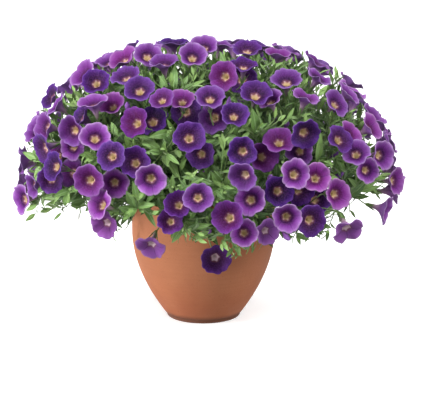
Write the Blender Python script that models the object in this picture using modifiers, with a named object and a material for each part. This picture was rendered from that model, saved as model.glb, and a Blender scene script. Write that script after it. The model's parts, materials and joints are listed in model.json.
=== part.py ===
"""A calibrachoa in full flower, growing in a round-bellied clay pot. Metres, +Z up.

The origin is the middle of the pot's flat underside, and the plant's best side faces -Y.
Flowering and leafy shoots rise from plain holes in the soil, fan out under a broad dome
and carry the five-lobed funnel flowers on its outside. Every shoot is one fused body.
"""
import math
import random

import bmesh
import bpy
from mathutils import Matrix, Vector
from mathutils.bvhtree import BVHTree

# Pot
POT_HEIGHT = 0.108
RIM_RADIUS = 0.060
BELLY_HEIGHT = 0.073          # above this the wall stands upright
BOWL_RADIUS = 0.033           # where the bowl starts, at the top of the foot
FOOT_HEIGHT = 0.004
FOOT_RADIUS = 0.031
BOWL_POWER = 1.87             # how full the bowl is between foot and belly
WALL = 0.0042
FLOOR = 0.006
RIM_ROUNDING = 0.0012
BOWL_RINGS = 5
INNER_RINGS = 3
POT_SIDES = 28
SEAM = 0.00005                # points of a turned profile's seam that are made one
DRAIN_HOLES = 4
DRAIN_SIDES = 8
DRAIN_RADIUS = 0.004
DRAIN_CIRCLE = 0.017          # from the pot's axis to a hole's middle

# Soil
SOIL_TOP = 0.096
SOIL_CROWN = 0.002            # rise of the soil in the middle
SOIL_BEND = 0.55              # share of the rim's radius where the crown begins to fall away
SOIL_BEND_RISE = 0.6          # share of the crown's rise that is left there
GAP = 0.0003                  # between pieces that touch
STEM_DEPTH = 0.016            # how deep a stem stands in the soil
SOIL_HOLE_SIDES = 4

# Dome of flowers
DOME_CENTRE = Vector((0.004, 0.0, 0.098))
DOME_REACH_X = 0.160
DOME_REACH_Y = 0.146
DOME_RISE = 0.134
SKIRT_DROP = 0.030
DOME_POWER = 2.4              # 2 would be an ellipsoid
LOWEST_FACING = -0.30         # flowers under the edge look down by no more than this

# The photograph's line of sight, which the places read from it need
VIEW_ELEVATION = math.radians(13.5)
VIEW_DISTANCE = 1.55
VIEW_AIM = Vector((0.014, 0.0, 0.0923))
PHOTO_CENTRE = (220.0, 207.5)
METRES_PER_PIXEL = 0.000839
SEARCH_NEARER, SEARCH_FARTHER, SEARCH_STEP = 0.30, 0.25, 0.001
HIDDEN_LEFT, HIDDEN_RIGHT, HIDDEN_TOP, HIDDEN_BOTTOM = 276, 402, 0, 130

# Flowers
BLOOM_RADIUS = 0.0138
LOBES = 5
NOTCH = 0.86                  # radius between two lobes, as a share of the lobe's
NOTCH_LIFT = 0.0010
THROAT_DEPTH = 0.0055
FUNNEL_DEPTH = 0.0085
FUNNEL_RADIUS = 0.0026
TUBE_LENGTH = 0.0185
TUBE_RADIUS = 0.0012
PEDICEL_RADIUS = 0.00055
TUBE_SIDES = 3
STUB = 0.007                  # kept free behind a flower for its pedicel
STRAIGHT = 0.88               # a pedicel more in line than this has no bend below the tube
BLOOM_SPACING = 0.0268        # between flowers that are placed by rule
FILL_TRIES = 5200
EYE_TRAVEL = 8.0              # pixels that the throat moves off centre on a flower seen edge-on
EDGE_ON = 0.93                # the most that a flower looks to the side, as a sine
SIZE_SPREAD = 0.06

# Flowers read from the photograph: middle x, y, then the throat's x, y where it shows
CROWN_BLOOMS = (
    (121, 57, 125, 63), (148, 54, 147, 59), (163, 61), (193, 55, 192, 60), (204, 45, 204, 51),
    (247, 47, 247, 54), (244, 63), (278, 52),
)
SHOULDER_BLOOMS = (
    (82, 73, 88, 77), (95, 81, 97, 85), (125, 74), (223, 76, 226, 77), (242, 79, 242, 80),
    (47, 95, 54, 98), (93, 101, 95, 109), (111, 104), (139, 88, 140, 93), (161, 98, 163, 103),
    (182, 99), (210, 96), (256, 92), (269, 99, 272, 105),
)
UPPER_BLOOMS = (
    (186, 112, 186, 112), (79, 116, 86, 120), (43, 127, 50, 128), (134, 122, 138, 124), (152, 119),
    (213, 117, 215, 118), (234, 114), (71, 131, 76, 130), (95, 136, 95, 140), (189, 137, 189, 139),
    (306, 134, 303, 132), (279, 139, 279, 144), (342, 138), (351, 133), (373, 126), (392, 120),
    (396, 140),
)
MIDDLE_BLOOMS = (
    (40, 149, 47, 147), (71, 147, 75, 147), (55, 155), (110, 155), (134, 162), (200, 155, 202, 154),
    (242, 152, 243, 151), (264, 157, 261, 157), (299, 153, 300, 151), (356, 152, 356, 156),
    (383, 155, 377, 155), (40, 164, 47, 163), (52, 166), (70, 172), (368, 170, 364, 170),
    (243, 177, 246, 174), (296, 174), (316, 177, 315, 179), (150, 180, 151, 178),
)
LOWER_BLOOMS = (
    (50, 180, 52, 179), (88, 181, 91, 180), (114, 184, 115, 182), (31, 186, 38, 184),
    (397, 181, 390, 181), (279, 191), (300, 190), (198, 197, 198, 198), (20, 200, 27, 199),
    (317, 199, 314, 200), (338, 194), (250, 200, 251, 200), (98, 204, 104, 206),
    (178, 204, 179, 206),
)
SKIRT_BLOOMS = (
    (228, 217, 230, 218), (170, 221, 171, 222), (104, 225, 108, 222), (287, 218, 286, 216),
    (312, 221), (244, 233, 244, 233), (268, 232, 264, 230), (349, 233, 346, 227),
)
SEEN_BLOOMS = (CROWN_BLOOMS + SHOULDER_BLOOMS + UPPER_BLOOMS + MIDDLE_BLOOMS + LOWER_BLOOMS
               + SKIRT_BLOOMS)
# Flowers that hang free below the edge: middle x, y, throat x, y, and depth in metres
HANGING_BLOOMS = ((150, 249, 152, 243, -0.100), (216, 260, 215, 257, -0.088))

# Green patches between the flowers, where leafy shoots come out
LEAF_PATCHES = (
    (171, 77), (264, 68), (68, 92), (169, 121), (127, 143), (158, 145), (262, 126), (330, 158),
    (221, 186), (130, 216), (47, 196), (182, 236), (330, 214),
)

# Shoots
FLOWERING_SHOOTS = 30
LEAFY_SHOOTS = 19
STEM_RADIUS = 0.0015
STEM_TIP_RADIUS = 0.0009
STEM_SPREAD = 0.043           # radius of the disc of soil that the stems rise from
STEM_SPACING = 0.0085
STEM_STEPS = 5
HIGH_SHOOT = 0.165            # shoots that end above this are straighter
SHOOT_DEPTH = 0.031           # how far under the flowers a flowering stem ends
LEAFY_DEPTH = 0.009
FULL_LEAN = math.radians(100.0)   # a target this far off the upright has its stem at the disc's edge
LEAN_POWER = 0.8
RISE_SHARE = 0.34             # of the way to the target, straight up before a stem leans out
RISE_LIFT = 0.2
RISE_BEND = 0.3
ARRIVE_SHARE = 0.30
STEM_BEND = 0.0012            # how much further aside each try bends a stem
STEM_ROOM = 1.25              # room kept round a stem, in its own radii
STEM_TEST_SIDES = 6

# Leaves
LEAF_LENGTH = 0.0225
LEAF_WIDTH = 0.0072
LEAF_THICKNESS = 0.0011
LEAF_FOLD = 0.12              # how far a leaf's edges rise above its midrib, as a share of its width
LEAF_WIDEST = 0.42            # where along its length a leaf is widest
LEAF_ROOT = 0.0002            # how far past its stem's middle a leaf's root is sunk
LEAVES_ON_LEAFY = 6
LEAVES_ON_FLOWERING = 2
LEAVES_FROM_LEAFY = 0.62      # shares of the stem's way between which leaves stand
LEAVES_FROM_FLOWERING = 0.66
LEAVES_TO = 0.97
LEAF_PLACES = 4               # places looked at for each leaf wanted
LEAF_STEP = 0.618             # golden steps up the stem and round it spread the leaves evenly
LEAF_TURN = 2.4
LEAF_TURN_SPREAD = 0.9
LEAF_TURN_AGAIN = 0.8         # further round at each new try
LEAF_LEANS = (0.3, 0.9)       # along the stem, where outwards is 1
LEAF_OUTWARD = 0.45
LEAF_LENGTHS = (0.8, 1.2)
LEAF_WIDTHS = (0.85, 1.1)
LEAF_DROOPS = (0.05, 0.25)
LEAF_SHORTER = 0.02           # shorter by this share at each new try
LEAF_UPPER = 0.5
LEAF_FREE = 0.2               # share next to the stem that may touch its neighbours

# Fusing
FUSE_TRIES = 8                # each pair of tries nudges the pieces a little further
FUSE_NUDGE = 0.00003
SLIVER = 0.000002
WELD = 0.000001
CLOSE = 0.0000015             # points nearer than this count as one
MARGIN = 0.0005               # kept clear round every leaf, flower and stem of another shoot

# Placing
SEED = 1
SETTLE_STEPS = 13
SETTLE_STEP = 0.003
SETTLE_SIZES = (1.0, 0.93, 0.87)
TURNED_AWAY = 0.33            # flatter to the line of sight than this, more flowers go between
LOWEST_FLOWER = 0.084
END_LIFT = 0.024              # and how much higher they stay at the dome's two ends
FACING_SPREAD = 0.16
DEPTH_SPREAD = 0.006
GROUP_ROUNDS = 40
GAP_TRIES = 900
LEAFY_SPACING = 0.060
SPREAD_ROUNDS = 80
OVER_RIM = 0.136
STEM_TRIES = 40
PEDICEL_PLACES = 20
PEDICEL_TRIES = 320
PEDICEL_ROUNDS = 6
ALONG_STEM = 0.955            # cosine under which a pedicel leaves its stem clearly
DETOURS = 24
SHARPEST_BEND = 0.3           # cosine
DETOUR = 0.008                # how far aside a pedicel may curve
DETOUR_FROM, DETOUR_TO = 0.35, 0.95
SHORTEST_PEDICEL = 0.004
PEDICEL_FREE = 0.3            # share next to the stem that may touch its neighbours
TURN_COST = 0.3               # what makes a place on a stem worse for a flower than a nearer one
BACKWARD_COST = 0.010
OTHER_SHOOT_COST = 0.020
PEDICEL_LOWEST = 0.36         # shares of the stem's way between which flowers branch off
PEDICEL_HIGHEST = 0.96
LEAF_TRIES = 9
LEAF_LIMIT = 1.12             # how far out a leaf's tip may reach

CLAY = (0.42, 0.17, 0.085)
EARTH = (0.045, 0.028, 0.018)
VIOLET = (0.13, 0.03, 0.28)
LEAF_GREEN = (0.10, 0.22, 0.05)

VIEW_FORWARD = Vector((0.0, math.cos(VIEW_ELEVATION), -math.sin(VIEW_ELEVATION)))
VIEW_UP = Vector((0.0, math.sin(VIEW_ELEVATION), math.cos(VIEW_ELEVATION)))
VIEW_RIGHT = Vector((1.0, 0.0, 0.0))
EYE_POINT = VIEW_AIM - VIEW_FORWARD * VIEW_DISTANCE

# Directions that no flower, stem or leaf follows, to start their cross sections from
BLOOM_HINT = VIEW_UP + VIEW_RIGHT * 0.3
STEM_HINT = Vector((0.31, 0.95, 0.02))
LEAF_HINT = Vector((0.13, 0.29, 0.95))


def clear_scene():
    for old in list(bpy.data.objects):
        bpy.data.objects.remove(old, do_unlink=True)


def new_collection(name):
    collection = bpy.data.collections.new(name)
    bpy.context.scene.collection.children.link(collection)
    return collection


def plain_material(name, colour, roughness):
    material = bpy.data.materials.new(name)
    material.use_nodes = True
    shader = material.node_tree.nodes["Principled BSDF"]
    shader.inputs["Base Color"].default_value = (*colour, 1.0)
    shader.inputs["Roughness"].default_value = roughness
    shader.inputs["Metallic"].default_value = 0.0
    return material


def mesh_object(name, mesh, collection):
    obj = bpy.data.objects.new(name, mesh)
    collection.objects.link(obj)
    return obj


def cleaned(mesh):
    """Welds a mesh and splits it into triangles, since a bent four-sided face spoils a union."""
    shape = bmesh.new()
    shape.from_mesh(mesh)
    bmesh.ops.remove_doubles(shape, verts=shape.verts, dist=WELD)
    bmesh.ops.triangulate(shape, faces=shape.faces)
    shape.to_mesh(mesh)
    shape.free()
    return mesh


def shape_object(name, shape, collection):
    """An object from a shape, which is a pair of points and faces."""
    mesh = bpy.data.meshes.new(name)
    mesh.from_pydata(shape[0], [], shape[1])
    return mesh_object(name, cleaned(mesh), collection)


def apply_modifiers(obj):
    graph = bpy.context.evaluated_depsgraph_get()
    finished = bpy.data.meshes.new_from_object(obj.evaluated_get(graph))
    obj.modifiers.clear()
    obj.data = finished


# Pot and soil


def bowl_radius(height):
    """The pot's outer radius at a height."""
    if height >= BELLY_HEIGHT:
        return RIM_RADIUS
    rise = max(0.0, (height - FOOT_HEIGHT) / (BELLY_HEIGHT - FOOT_HEIGHT))
    return BOWL_RADIUS + (RIM_RADIUS - BOWL_RADIUS) * (1.0 - (1.0 - rise) ** BOWL_POWER)


def bowl_heights(bottom, rings):
    return [bottom + (BELLY_HEIGHT - bottom) * k / rings for k in range(rings + 1)]


def inner_wall(top):
    """Radius and height up the inside of the pot, from its floor to a height."""
    points = [(bowl_radius(z) - WALL, z) for z in bowl_heights(FLOOR, INNER_RINGS)]
    points.append((RIM_RADIUS - WALL, top))
    return points


def pot_profile():
    """From the middle of the floor up the inside, over the rim and down the outside."""
    inside = [(0.0, FLOOR)] + inner_wall(POT_HEIGHT - RIM_ROUNDING)
    rim = [(RIM_RADIUS - WALL + RIM_ROUNDING, POT_HEIGHT), (RIM_RADIUS - RIM_ROUNDING, POT_HEIGHT)]
    outside = [(RIM_RADIUS, POT_HEIGHT - RIM_ROUNDING)]
    outside += [(bowl_radius(z), z) for z in reversed(bowl_heights(FOOT_HEIGHT, BOWL_RINGS))]
    foot = [(FOOT_RADIUS, FOOT_HEIGHT - RIM_ROUNDING), (FOOT_RADIUS, 0.0), (0.0, 0.0)]
    return inside + rim + outside + foot


def soil_profile():
    """From the middle of the crowned top out to the wall and down to the floor."""
    top = [(0.0, SOIL_TOP + SOIL_CROWN),
           (RIM_RADIUS * SOIL_BEND, SOIL_TOP + SOIL_CROWN * SOIL_BEND_RISE)]
    side = [(radius - GAP, height) for radius, height in reversed(inner_wall(SOIL_TOP))]
    bottom = side.pop()
    return top + side + [(bottom[0], bottom[1] + GAP), (0.0, FLOOR + GAP)]


def turned(name, profile, collection):
    """A profile turned about the Z axis."""
    mesh = bpy.data.meshes.new(name)
    points = [(radius, 0.0, height) for radius, height in profile]
    mesh.from_pydata(points, [(k, k + 1) for k in range(len(points) - 1)], [])
    obj = mesh_object(name, mesh, collection)
    screw = obj.modifiers.new("Turn", "SCREW")
    screw.steps = POT_SIDES
    screw.render_steps = POT_SIDES
    screw.use_merge_vertices = True
    screw.merge_threshold = SEAM
    return obj


def cutter(name, sides, radius, low, high, place, collection):
    """An upright prism, shown as a wire, which cuts a plain hole."""
    mesh = bpy.data.meshes.new(name)
    shape = bmesh.new()
    bmesh.ops.create_cone(shape, cap_ends=True, segments=sides, radius1=radius, radius2=radius,
                          depth=high - low)
    shape.to_mesh(mesh)
    shape.free()
    obj = mesh_object(name, mesh, collection)
    obj.location = (place.x, place.y, (low + high) / 2.0)
    obj.hide_render = True
    obj.display_type = "WIRE"


def cut_with(obj, cutters):
    cut = obj.modifiers.new("Holes", "BOOLEAN")
    cut.operation = "DIFFERENCE"
    cut.operand_type = "COLLECTION"
    cut.collection = cutters


def make_pot(parts):
    pot = turned("pot", pot_profile(), parts)
    cutters = new_collection("drain_hole_cutters")
    for k in range(DRAIN_HOLES):
        angle = math.tau * (k + 0.5) / DRAIN_HOLES
        place = Vector((math.cos(angle), math.sin(angle), 0.0)) * DRAIN_CIRCLE
        cutter(f"drain_hole_{k + 1}", DRAIN_SIDES, DRAIN_RADIUS, -FLOOR, 2.0 * FLOOR, place,
               cutters)
    cut_with(pot, cutters)
    pot.data.materials.append(plain_material("clay", CLAY, 0.75))
    return pot


def make_soil(parts, stem_places):
    soil = turned("soil", soil_profile(), parts)
    cutters = new_collection("stem_hole_cutters")
    inner = STEM_RADIUS / math.sqrt(2.0) + GAP
    for k, place in enumerate(stem_places):
        cutter(f"stem_hole_{k + 1}", SOIL_HOLE_SIDES, inner * math.sqrt(2.0),
               SOIL_TOP - STEM_DEPTH - GAP, POT_HEIGHT, place, cutters)
    cut_with(soil, cutters)
    soil.data.materials.append(plain_material("earth", EARTH, 0.95))


# Places on the dome


def dome_reaches(off):
    """How far the dome reaches along X, Y and Z, on a point's side of its centre."""
    return DOME_REACH_X, DOME_REACH_Y, DOME_RISE if off.z > 0.0 else SKIRT_DROP


def dome_level(point):
    """Under 1 inside the dome of flowers, 1 on it, over 1 outside."""
    off = point - DOME_CENTRE
    return sum(abs(part / reach) ** DOME_POWER for part, reach in zip(off, dome_reaches(off)))


def onto_dome(point):
    """The point of the dome straight out from its centre through a point."""
    off = point - DOME_CENTRE
    return DOME_CENTRE + off / dome_level(point) ** (1.0 / DOME_POWER)


def dome_normal(point):
    """The way out of the dome at a point of it."""
    off = point - DOME_CENTRE
    normal = Vector([math.copysign(abs(part / reach) ** (DOME_POWER - 1.0) / reach, part)
                     for part, reach in zip(off, dome_reaches(off))])
    normal.normalize()
    normal.z = max(normal.z, LOWEST_FACING)
    return normal.normalized()


def sight_direction(x, y):
    """The line of sight through a pixel of the photograph."""
    across = (x - PHOTO_CENTRE[0]) * METRES_PER_PIXEL
    upward = (PHOTO_CENTRE[1] - y) * METRES_PER_PIXEL
    target = VIEW_AIM + VIEW_RIGHT * across + VIEW_UP * upward
    return (target - EYE_POINT).normalized()


def pixel_of(point):
    """Where a point shows in the photograph."""
    off = point - EYE_POINT
    scale = VIEW_DISTANCE / off.dot(VIEW_FORWARD) / METRES_PER_PIXEL
    return (PHOTO_CENTRE[0] + off.dot(VIEW_RIGHT) * scale,
            PHOTO_CENTRE[1] - off.dot(VIEW_UP) * scale)


def seen_on_dome(x, y):
    """The first point of the dome on a pixel's line of sight, or the nearest one beside it."""
    sight = sight_direction(x, y)
    best = None
    distance = VIEW_DISTANCE - SEARCH_NEARER
    while distance < VIEW_DISTANCE + SEARCH_FARTHER:
        point = EYE_POINT + sight * distance
        level = dome_level(point)
        if level <= 1.0:
            return point
        if best is None or level < best[0]:
            best = (level, point)
        distance += SEARCH_STEP
    return onto_dome(best[1])


def facing_from_throat(row, normal):
    """The way a flower looks, from how far its throat shows off its middle."""
    if len(row) < 4:
        return normal
    across = -(row[2] - row[0]) / EYE_TRAVEL
    upward = (row[3] - row[1]) / EYE_TRAVEL
    length = math.hypot(across, upward)
    if length > EDGE_ON:
        across, upward = across * EDGE_ON / length, upward * EDGE_ON / length
    towards = math.sqrt(1.0 - across ** 2 - upward ** 2)
    sight = sight_direction(row[0], row[1])
    side = sight.cross(VIEW_UP).normalized()
    above = side.cross(sight).normalized()
    return (side * across + above * upward - sight * towards).normalized()


# Shapes of a flower and a leaf, as points and faces


def loft(rings):
    """Joins rings of points in order, with the first and last ones closed."""
    points = [point for ring in rings for point in ring]
    faces = []
    start = 0
    if len(rings[0]) > 2:
        faces.append(tuple(range(len(rings[0]))))
    for upper, lower in zip(rings, rings[1:]):
        many, few = len(upper), len(lower)
        below = start + many
        if few == many:
            faces += [(start + k, below + k, below + (k + 1) % many, start + (k + 1) % many)
                      for k in range(many)]
        elif many == 1:
            faces += [(start, below + k, below + (k + 1) % few) for k in range(few)]
        else:
            i, j = 0, 0
            while i < many or j < few:
                if j >= few or (i < many and (i + 1) / many <= (j + 1) / few):
                    faces.append((start + i % many, below + j % few, start + (i + 1) % many))
                    i += 1
                else:
                    faces.append((start + i % many, below + j % few, below + (j + 1) % few))
                    j += 1
        start = below
    if len(rings[-1]) > 2:
        faces.append(tuple(reversed(range(start, start + len(rings[-1])))))
    return points, faces


def ring(middle, across, beside, radius, sides, turn=0.0):
    return [middle + (across * math.cos(math.tau * k / sides + turn)
                      + beside * math.sin(math.tau * k / sides + turn)) * radius
            for k in range(sides)]


def cross_axes(axis, hint):
    """Two directions square to an axis and to each other, the first one nearest to the hint."""
    across = (hint - axis * hint.dot(axis)).normalized()
    return across, axis.cross(across)


def bloom_rings(bloom):
    """Throat, lobed rim, neck of the funnel and end of the tube, from front to back."""
    axis = bloom["facing"]
    hint = Matrix.Rotation(bloom["turn"], 3, axis) @ cross_axes(axis, BLOOM_HINT)[0]
    across, beside = cross_axes(axis, hint)
    middle = bloom["middle"]
    size = bloom["size"]
    rim = []
    for k in range(2 * LOBES):
        angle = math.tau * k / (2 * LOBES)
        radius = BLOOM_RADIUS * size * (NOTCH if k % 2 else 1.0)
        rim.append(middle + (across * math.cos(angle) + beside * math.sin(angle)) * radius
                   + axis * (NOTCH_LIFT if k % 2 else 0.0))
    throat = [middle - axis * THROAT_DEPTH * size]
    neck = ring(middle - axis * FUNNEL_DEPTH * size, across, beside, FUNNEL_RADIUS, TUBE_SIDES)
    end = ring(middle - axis * TUBE_LENGTH * size, across, beside, TUBE_RADIUS, TUBE_SIDES)
    return [throat, rim, neck, end]


def tube_end(bloom):
    return bloom["middle"] - bloom["facing"] * TUBE_LENGTH * bloom["size"]


def bloom_shape(bloom, route=()):
    """A flower, with its pedicel when the points that it passes down to its root are known."""
    rings = bloom_rings(bloom)
    before = tube_end(bloom)
    if len(route) == 1 and (before - route[0]).normalized().dot(bloom["facing"]) > STRAIGHT:
        rings.pop()
    for point in route:
        along = (before - point).normalized()
        corner = rings[-1][0] - sum(rings[-1], Vector()) / TUBE_SIDES
        across, beside = cross_axes(along, corner)
        rings.append(ring(point, across, beside, PEDICEL_RADIUS, TUBE_SIDES))
        before = point
    return loft(rings)


def bloom_with_stub(bloom):
    """A flower and the room behind it that its pedicel needs to get away."""
    return bloom_shape(bloom, [tube_end(bloom) - bloom["facing"] * STUB])


def leaf_shape(root, along, upper, length, width, droop):
    """A thin lance-shaped leaf: a flattened four-sided ball drawn out from root to tip."""
    shape = bmesh.new()
    bmesh.ops.create_uvsphere(shape, u_segments=4, v_segments=2, radius=1.0)
    side = upper.cross(along).normalized()
    top = along.cross(side).normalized()
    for vert in shape.verts:
        reach = LEAF_WIDEST if abs(vert.co.x) < 0.5 else max(vert.co.x, 0.0)
        distance = reach * (length + LEAF_ROOT) - LEAF_ROOT
        lift = vert.co.z * LEAF_THICKNESS / 2.0 + abs(vert.co.y) * width * LEAF_FOLD
        vert.co = (root + along * distance + side * vert.co.y * width / 2.0
                   + top * (lift - droop * reach * reach * length))
    points = [vert.co.copy() for vert in shape.verts]
    faces = [tuple(vert.index for vert in face.verts) for face in shape.faces]
    shape.free()
    return points, faces


def swollen(shape, amount):
    """The same shape grown outwards, to test for room round it."""
    points, faces = shape
    normals = [Vector() for _ in points]
    for face in faces:
        corners = [points[k] for k in face]
        normal = (corners[1] - corners[0]).cross(corners[2] - corners[0])
        if normal.length > 0.0:
            normal.normalize()
            for k in face:
                normals[k] += normal
    return [point + normal.normalized() * amount for point, normal in zip(points, normals)], faces


class Thicket:
    """Everything placed so far, so that no shoot crosses another."""

    def __init__(self):
        self.pieces = []

    def add(self, owner, shape):
        low, high = limits(shape[0])
        self.pieces.append((owner, low, high, BVHTree.FromPolygons(*shape)))

    def is_free(self, owner, shape):
        grown = swollen(shape, MARGIN)
        low, high = limits(grown[0])
        tree = None
        for other, other_low, other_high, other_tree in self.pieces:
            apart = any(low[k] > other_high[k] or high[k] < other_low[k] for k in range(3))
            if other == owner or apart:
                continue
            if tree is None:
                tree = BVHTree.FromPolygons(*grown)
            if tree.overlap(other_tree):
                return False
        return True


def limits(points):
    low = [min(point[k] for point in points) for k in range(3)]
    high = [max(point[k] for point in points) for k in range(3)]
    return low, high


# Where everything stands


def new_bloom(middle, facing, chance):
    return {"middle": middle, "facing": facing, "turn": chance.uniform(0.0, math.tau),
            "size": 1.0 + chance.uniform(-SIZE_SPREAD, SIZE_SPREAD)}


def settle(bloom, shift, thicket, number):
    """Moves a flower along a line, and makes it a little smaller, until it clears the others."""
    start, size = bloom["middle"], bloom["size"]
    for step in range(SETTLE_STEPS):
        for share in SETTLE_SIZES:
            bloom["middle"] = start + shift * (step * SETTLE_STEP)
            bloom["size"] = size * share
            shape = bloom_with_stub(bloom)
            if thicket.is_free(number, shape):
                thicket.add(number, shape)
                return True
    return False


def seen_blooms(chance, thicket):
    """The flowers read from the photograph, on their lines of sight."""
    blooms = []
    for row in SEEN_BLOOMS:
        middle = seen_on_dome(row[0], row[1])
        bloom = new_bloom(middle, facing_from_throat(row, dome_normal(middle)), chance)
        if settle(bloom, sight_direction(row[0], row[1]), thicket, len(blooms)):
            blooms.append(bloom)
    for row in HANGING_BLOOMS:
        sight = sight_direction(row[0], row[1])
        middle = EYE_POINT + sight * ((row[4] - EYE_POINT.y) / sight.y)
        bloom = new_bloom(middle, facing_from_throat(row[:4], sight), chance)
        if settle(bloom, sight, thicket, len(blooms)):
            blooms.append(bloom)
    return blooms


def photograph_shows(point):
    """True where the photograph shows the dome, so its own flowers are listed."""
    x, y = pixel_of(point)
    hidden = HIDDEN_LEFT < x < HIDDEN_RIGHT and HIDDEN_TOP < y < HIDDEN_BOTTOM
    towards = (EYE_POINT - point).normalized()
    return dome_normal(point).dot(towards) > TURNED_AWAY and not hidden


def random_dome_point(chance):
    while True:
        way = Vector([chance.uniform(-1.0, 1.0) for _ in range(3)])
        if 0.1 < way.length < 1.0:
            point = onto_dome(DOME_CENTRE + way)
            off_centre = (point.x - DOME_CENTRE.x) / DOME_REACH_X
            if point.z > LOWEST_FLOWER + END_LIFT * off_centre ** 2:
                return point


def fill_blooms(blooms, chance, thicket):
    """Flowers by rule on the sides, the top and the back, spaced like those in view."""
    for _ in range(FILL_TRIES):
        point = random_dome_point(chance)
        if photograph_shows(point):
            continue
        if min((point - other["middle"]).length for other in blooms) < BLOOM_SPACING:
            continue
        tilt = Vector([chance.gauss(0.0, FACING_SPREAD) for _ in range(3)])
        facing = (dome_normal(point) + tilt).normalized()
        point = point - dome_normal(point) * chance.uniform(0.0, DEPTH_SPREAD)
        bloom = new_bloom(point, facing, chance)
        if settle(bloom, -dome_normal(point), thicket, len(blooms)):
            blooms.append(bloom)


def grouped(points, count):
    """Sorts points into neighbouring groups, by moving each group's middle to its mean."""
    middles = [points[0]]
    while len(middles) < count:
        middles.append(max(points, key=lambda p: min((p - m).length for m in middles)))
    for _ in range(GROUP_ROUNDS):
        groups = [[] for _ in middles]
        for k, point in enumerate(points):
            nearest = min(range(count), key=lambda g: (point - middles[g]).length)
            groups[nearest].append(k)
        middles = [sum((points[k] for k in group), Vector()) / len(group) if group else middle
                   for group, middle in zip(groups, middles)]
    return [group for group in groups if group]


def leafy_targets(blooms, chance):
    """The green patches in view, and the widest gaps elsewhere."""
    targets = [seen_on_dome(x, y) for x, y in LEAF_PATCHES]
    spots = [random_dome_point(chance) for _ in range(GAP_TRIES)]
    spots = [spot for spot in spots if not photograph_shows(spot)]
    while len(targets) < LEAFY_SHOOTS:
        def room(spot):
            flowers = min((spot - bloom["middle"]).length for bloom in blooms)
            shoots = min((spot - target).length for target in targets)
            return flowers + min(shoots, LEAFY_SPACING)
        targets.append(max(spots, key=room))
    return targets


def stem_bases(targets):
    """Places in the soil, each on its target's side and clear of the other stems."""
    bases = []
    for target in targets:
        off = target - Vector((0.0, 0.0, SOIL_TOP))
        lean = math.acos(off.z / off.length) / FULL_LEAN
        flat = Vector((off.x, off.y, 0.0)).normalized()
        bases.append(flat * STEM_SPREAD * min(1.0, lean) ** LEAN_POWER)
    for _ in range(SPREAD_ROUNDS):
        for i, first in enumerate(bases):
            for second in bases[:i]:
                apart = first - second
                push = STEM_SPACING - apart.length
                if push > 0.0:
                    apart = apart.normalized() * push * 0.5
                    first += apart
                    second -= apart
        for base in bases:
            if base.length > STEM_SPREAD:
                base *= STEM_SPREAD / base.length
    return bases


def stem_path(base, target, facing, bend):
    """Up out of the soil, over the rim where the target is low, and out to the target."""
    start = Vector((base.x, base.y, SOIL_TOP + SOIL_CROWN))
    reach = (target - start).length
    lift = max(0.0, OVER_RIM - target.z)
    rise = start + Vector((0.0, 0.0, RISE_SHARE * reach + RISE_LIFT * lift)) + bend * RISE_BEND
    arrive = target - facing * reach * ARRIVE_SHARE + Vector((0.0, 0.0, lift)) + bend
    points = [Vector((base.x, base.y, SOIL_TOP - STEM_DEPTH)), start]
    steps = STEM_STEPS if target.z < HIGH_SHOOT else STEM_STEPS - 1
    for k in range(1, steps + 1):
        t = k / steps
        points.append(start * (1 - t) ** 3 + rise * 3 * t * (1 - t) ** 2
                      + arrive * 3 * t * t * (1 - t) + target * t ** 3)
    return points


def stem_radii(points):
    last = len(points) - 1
    return [STEM_RADIUS + (STEM_TIP_RADIUS - STEM_RADIUS) * k / last for k in range(last + 1)]


def stem_test_shape(points):
    """A stem as rings, used only to keep room round it."""
    rings = []
    for k, (point, radius) in enumerate(zip(points, stem_radii(points))):
        before, after = points[max(k - 1, 0)], points[min(k + 1, len(points) - 1)]
        along = (before - after).normalized()
        across, beside = cross_axes(along, STEM_HINT)
        rings.append(ring(point, across, beside, radius * STEM_ROOM, STEM_TEST_SIDES))
    return loft(list(reversed(rings)))


def place_stem(shoot, base, chance, thicket):
    """Bends a stem a little aside until it clears the stems before it."""
    for attempt in range(STEM_TRIES):
        bend = Vector([chance.gauss(0.0, 1.0) for _ in range(3)]) * (STEM_BEND * attempt)
        points = stem_path(base, shoot["target"], shoot["facing"], bend)
        shape = stem_test_shape(points)
        if thicket.is_free(shoot["name"], shape):
            break
    shoot["stem"] = points
    thicket.add(shoot["name"], shape)


def along_stem(points, share):
    """A point and the direction at a share of a stem's way above the soil."""
    place = 1 + share * (len(points) - 2)
    k = min(int(place), len(points) - 2)
    direction = (points[k + 1] - points[k]).normalized()
    return points[k].lerp(points[k + 1], place - k), direction


def pedicel_roots(bloom, shoots):
    """Places on the stems that a flower could branch from, the best first."""
    end = tube_end(bloom)
    options = []
    for shoot in shoots:
        for k in range(PEDICEL_PLACES):
            if k in shoot["taken"]:
                continue
            share = PEDICEL_LOWEST + (PEDICEL_HIGHEST - PEDICEL_LOWEST) * k / (PEDICEL_PLACES - 1)
            root, along = along_stem(shoot["stem"], share)
            way = end - root
            forward = way.normalized().dot(bloom["facing"])
            beside_stem = way.normalized().dot(along) > ALONG_STEM and k < PEDICEL_PLACES - 1
            if forward < SHARPEST_BEND or way.length < SHORTEST_PEDICEL or beside_stem:
                continue
            cost = (way.length * (1.0 + TURN_COST - TURN_COST * forward)
                    + BACKWARD_COST * (1.0 - way.normalized().dot(along)))
            if shoot["name"] != bloom["shoot"]:
                cost += OTHER_SHOOT_COST
            options.append((cost, k, shoot, root))
    options.sort(key=lambda option: option[0])
    return options


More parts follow.
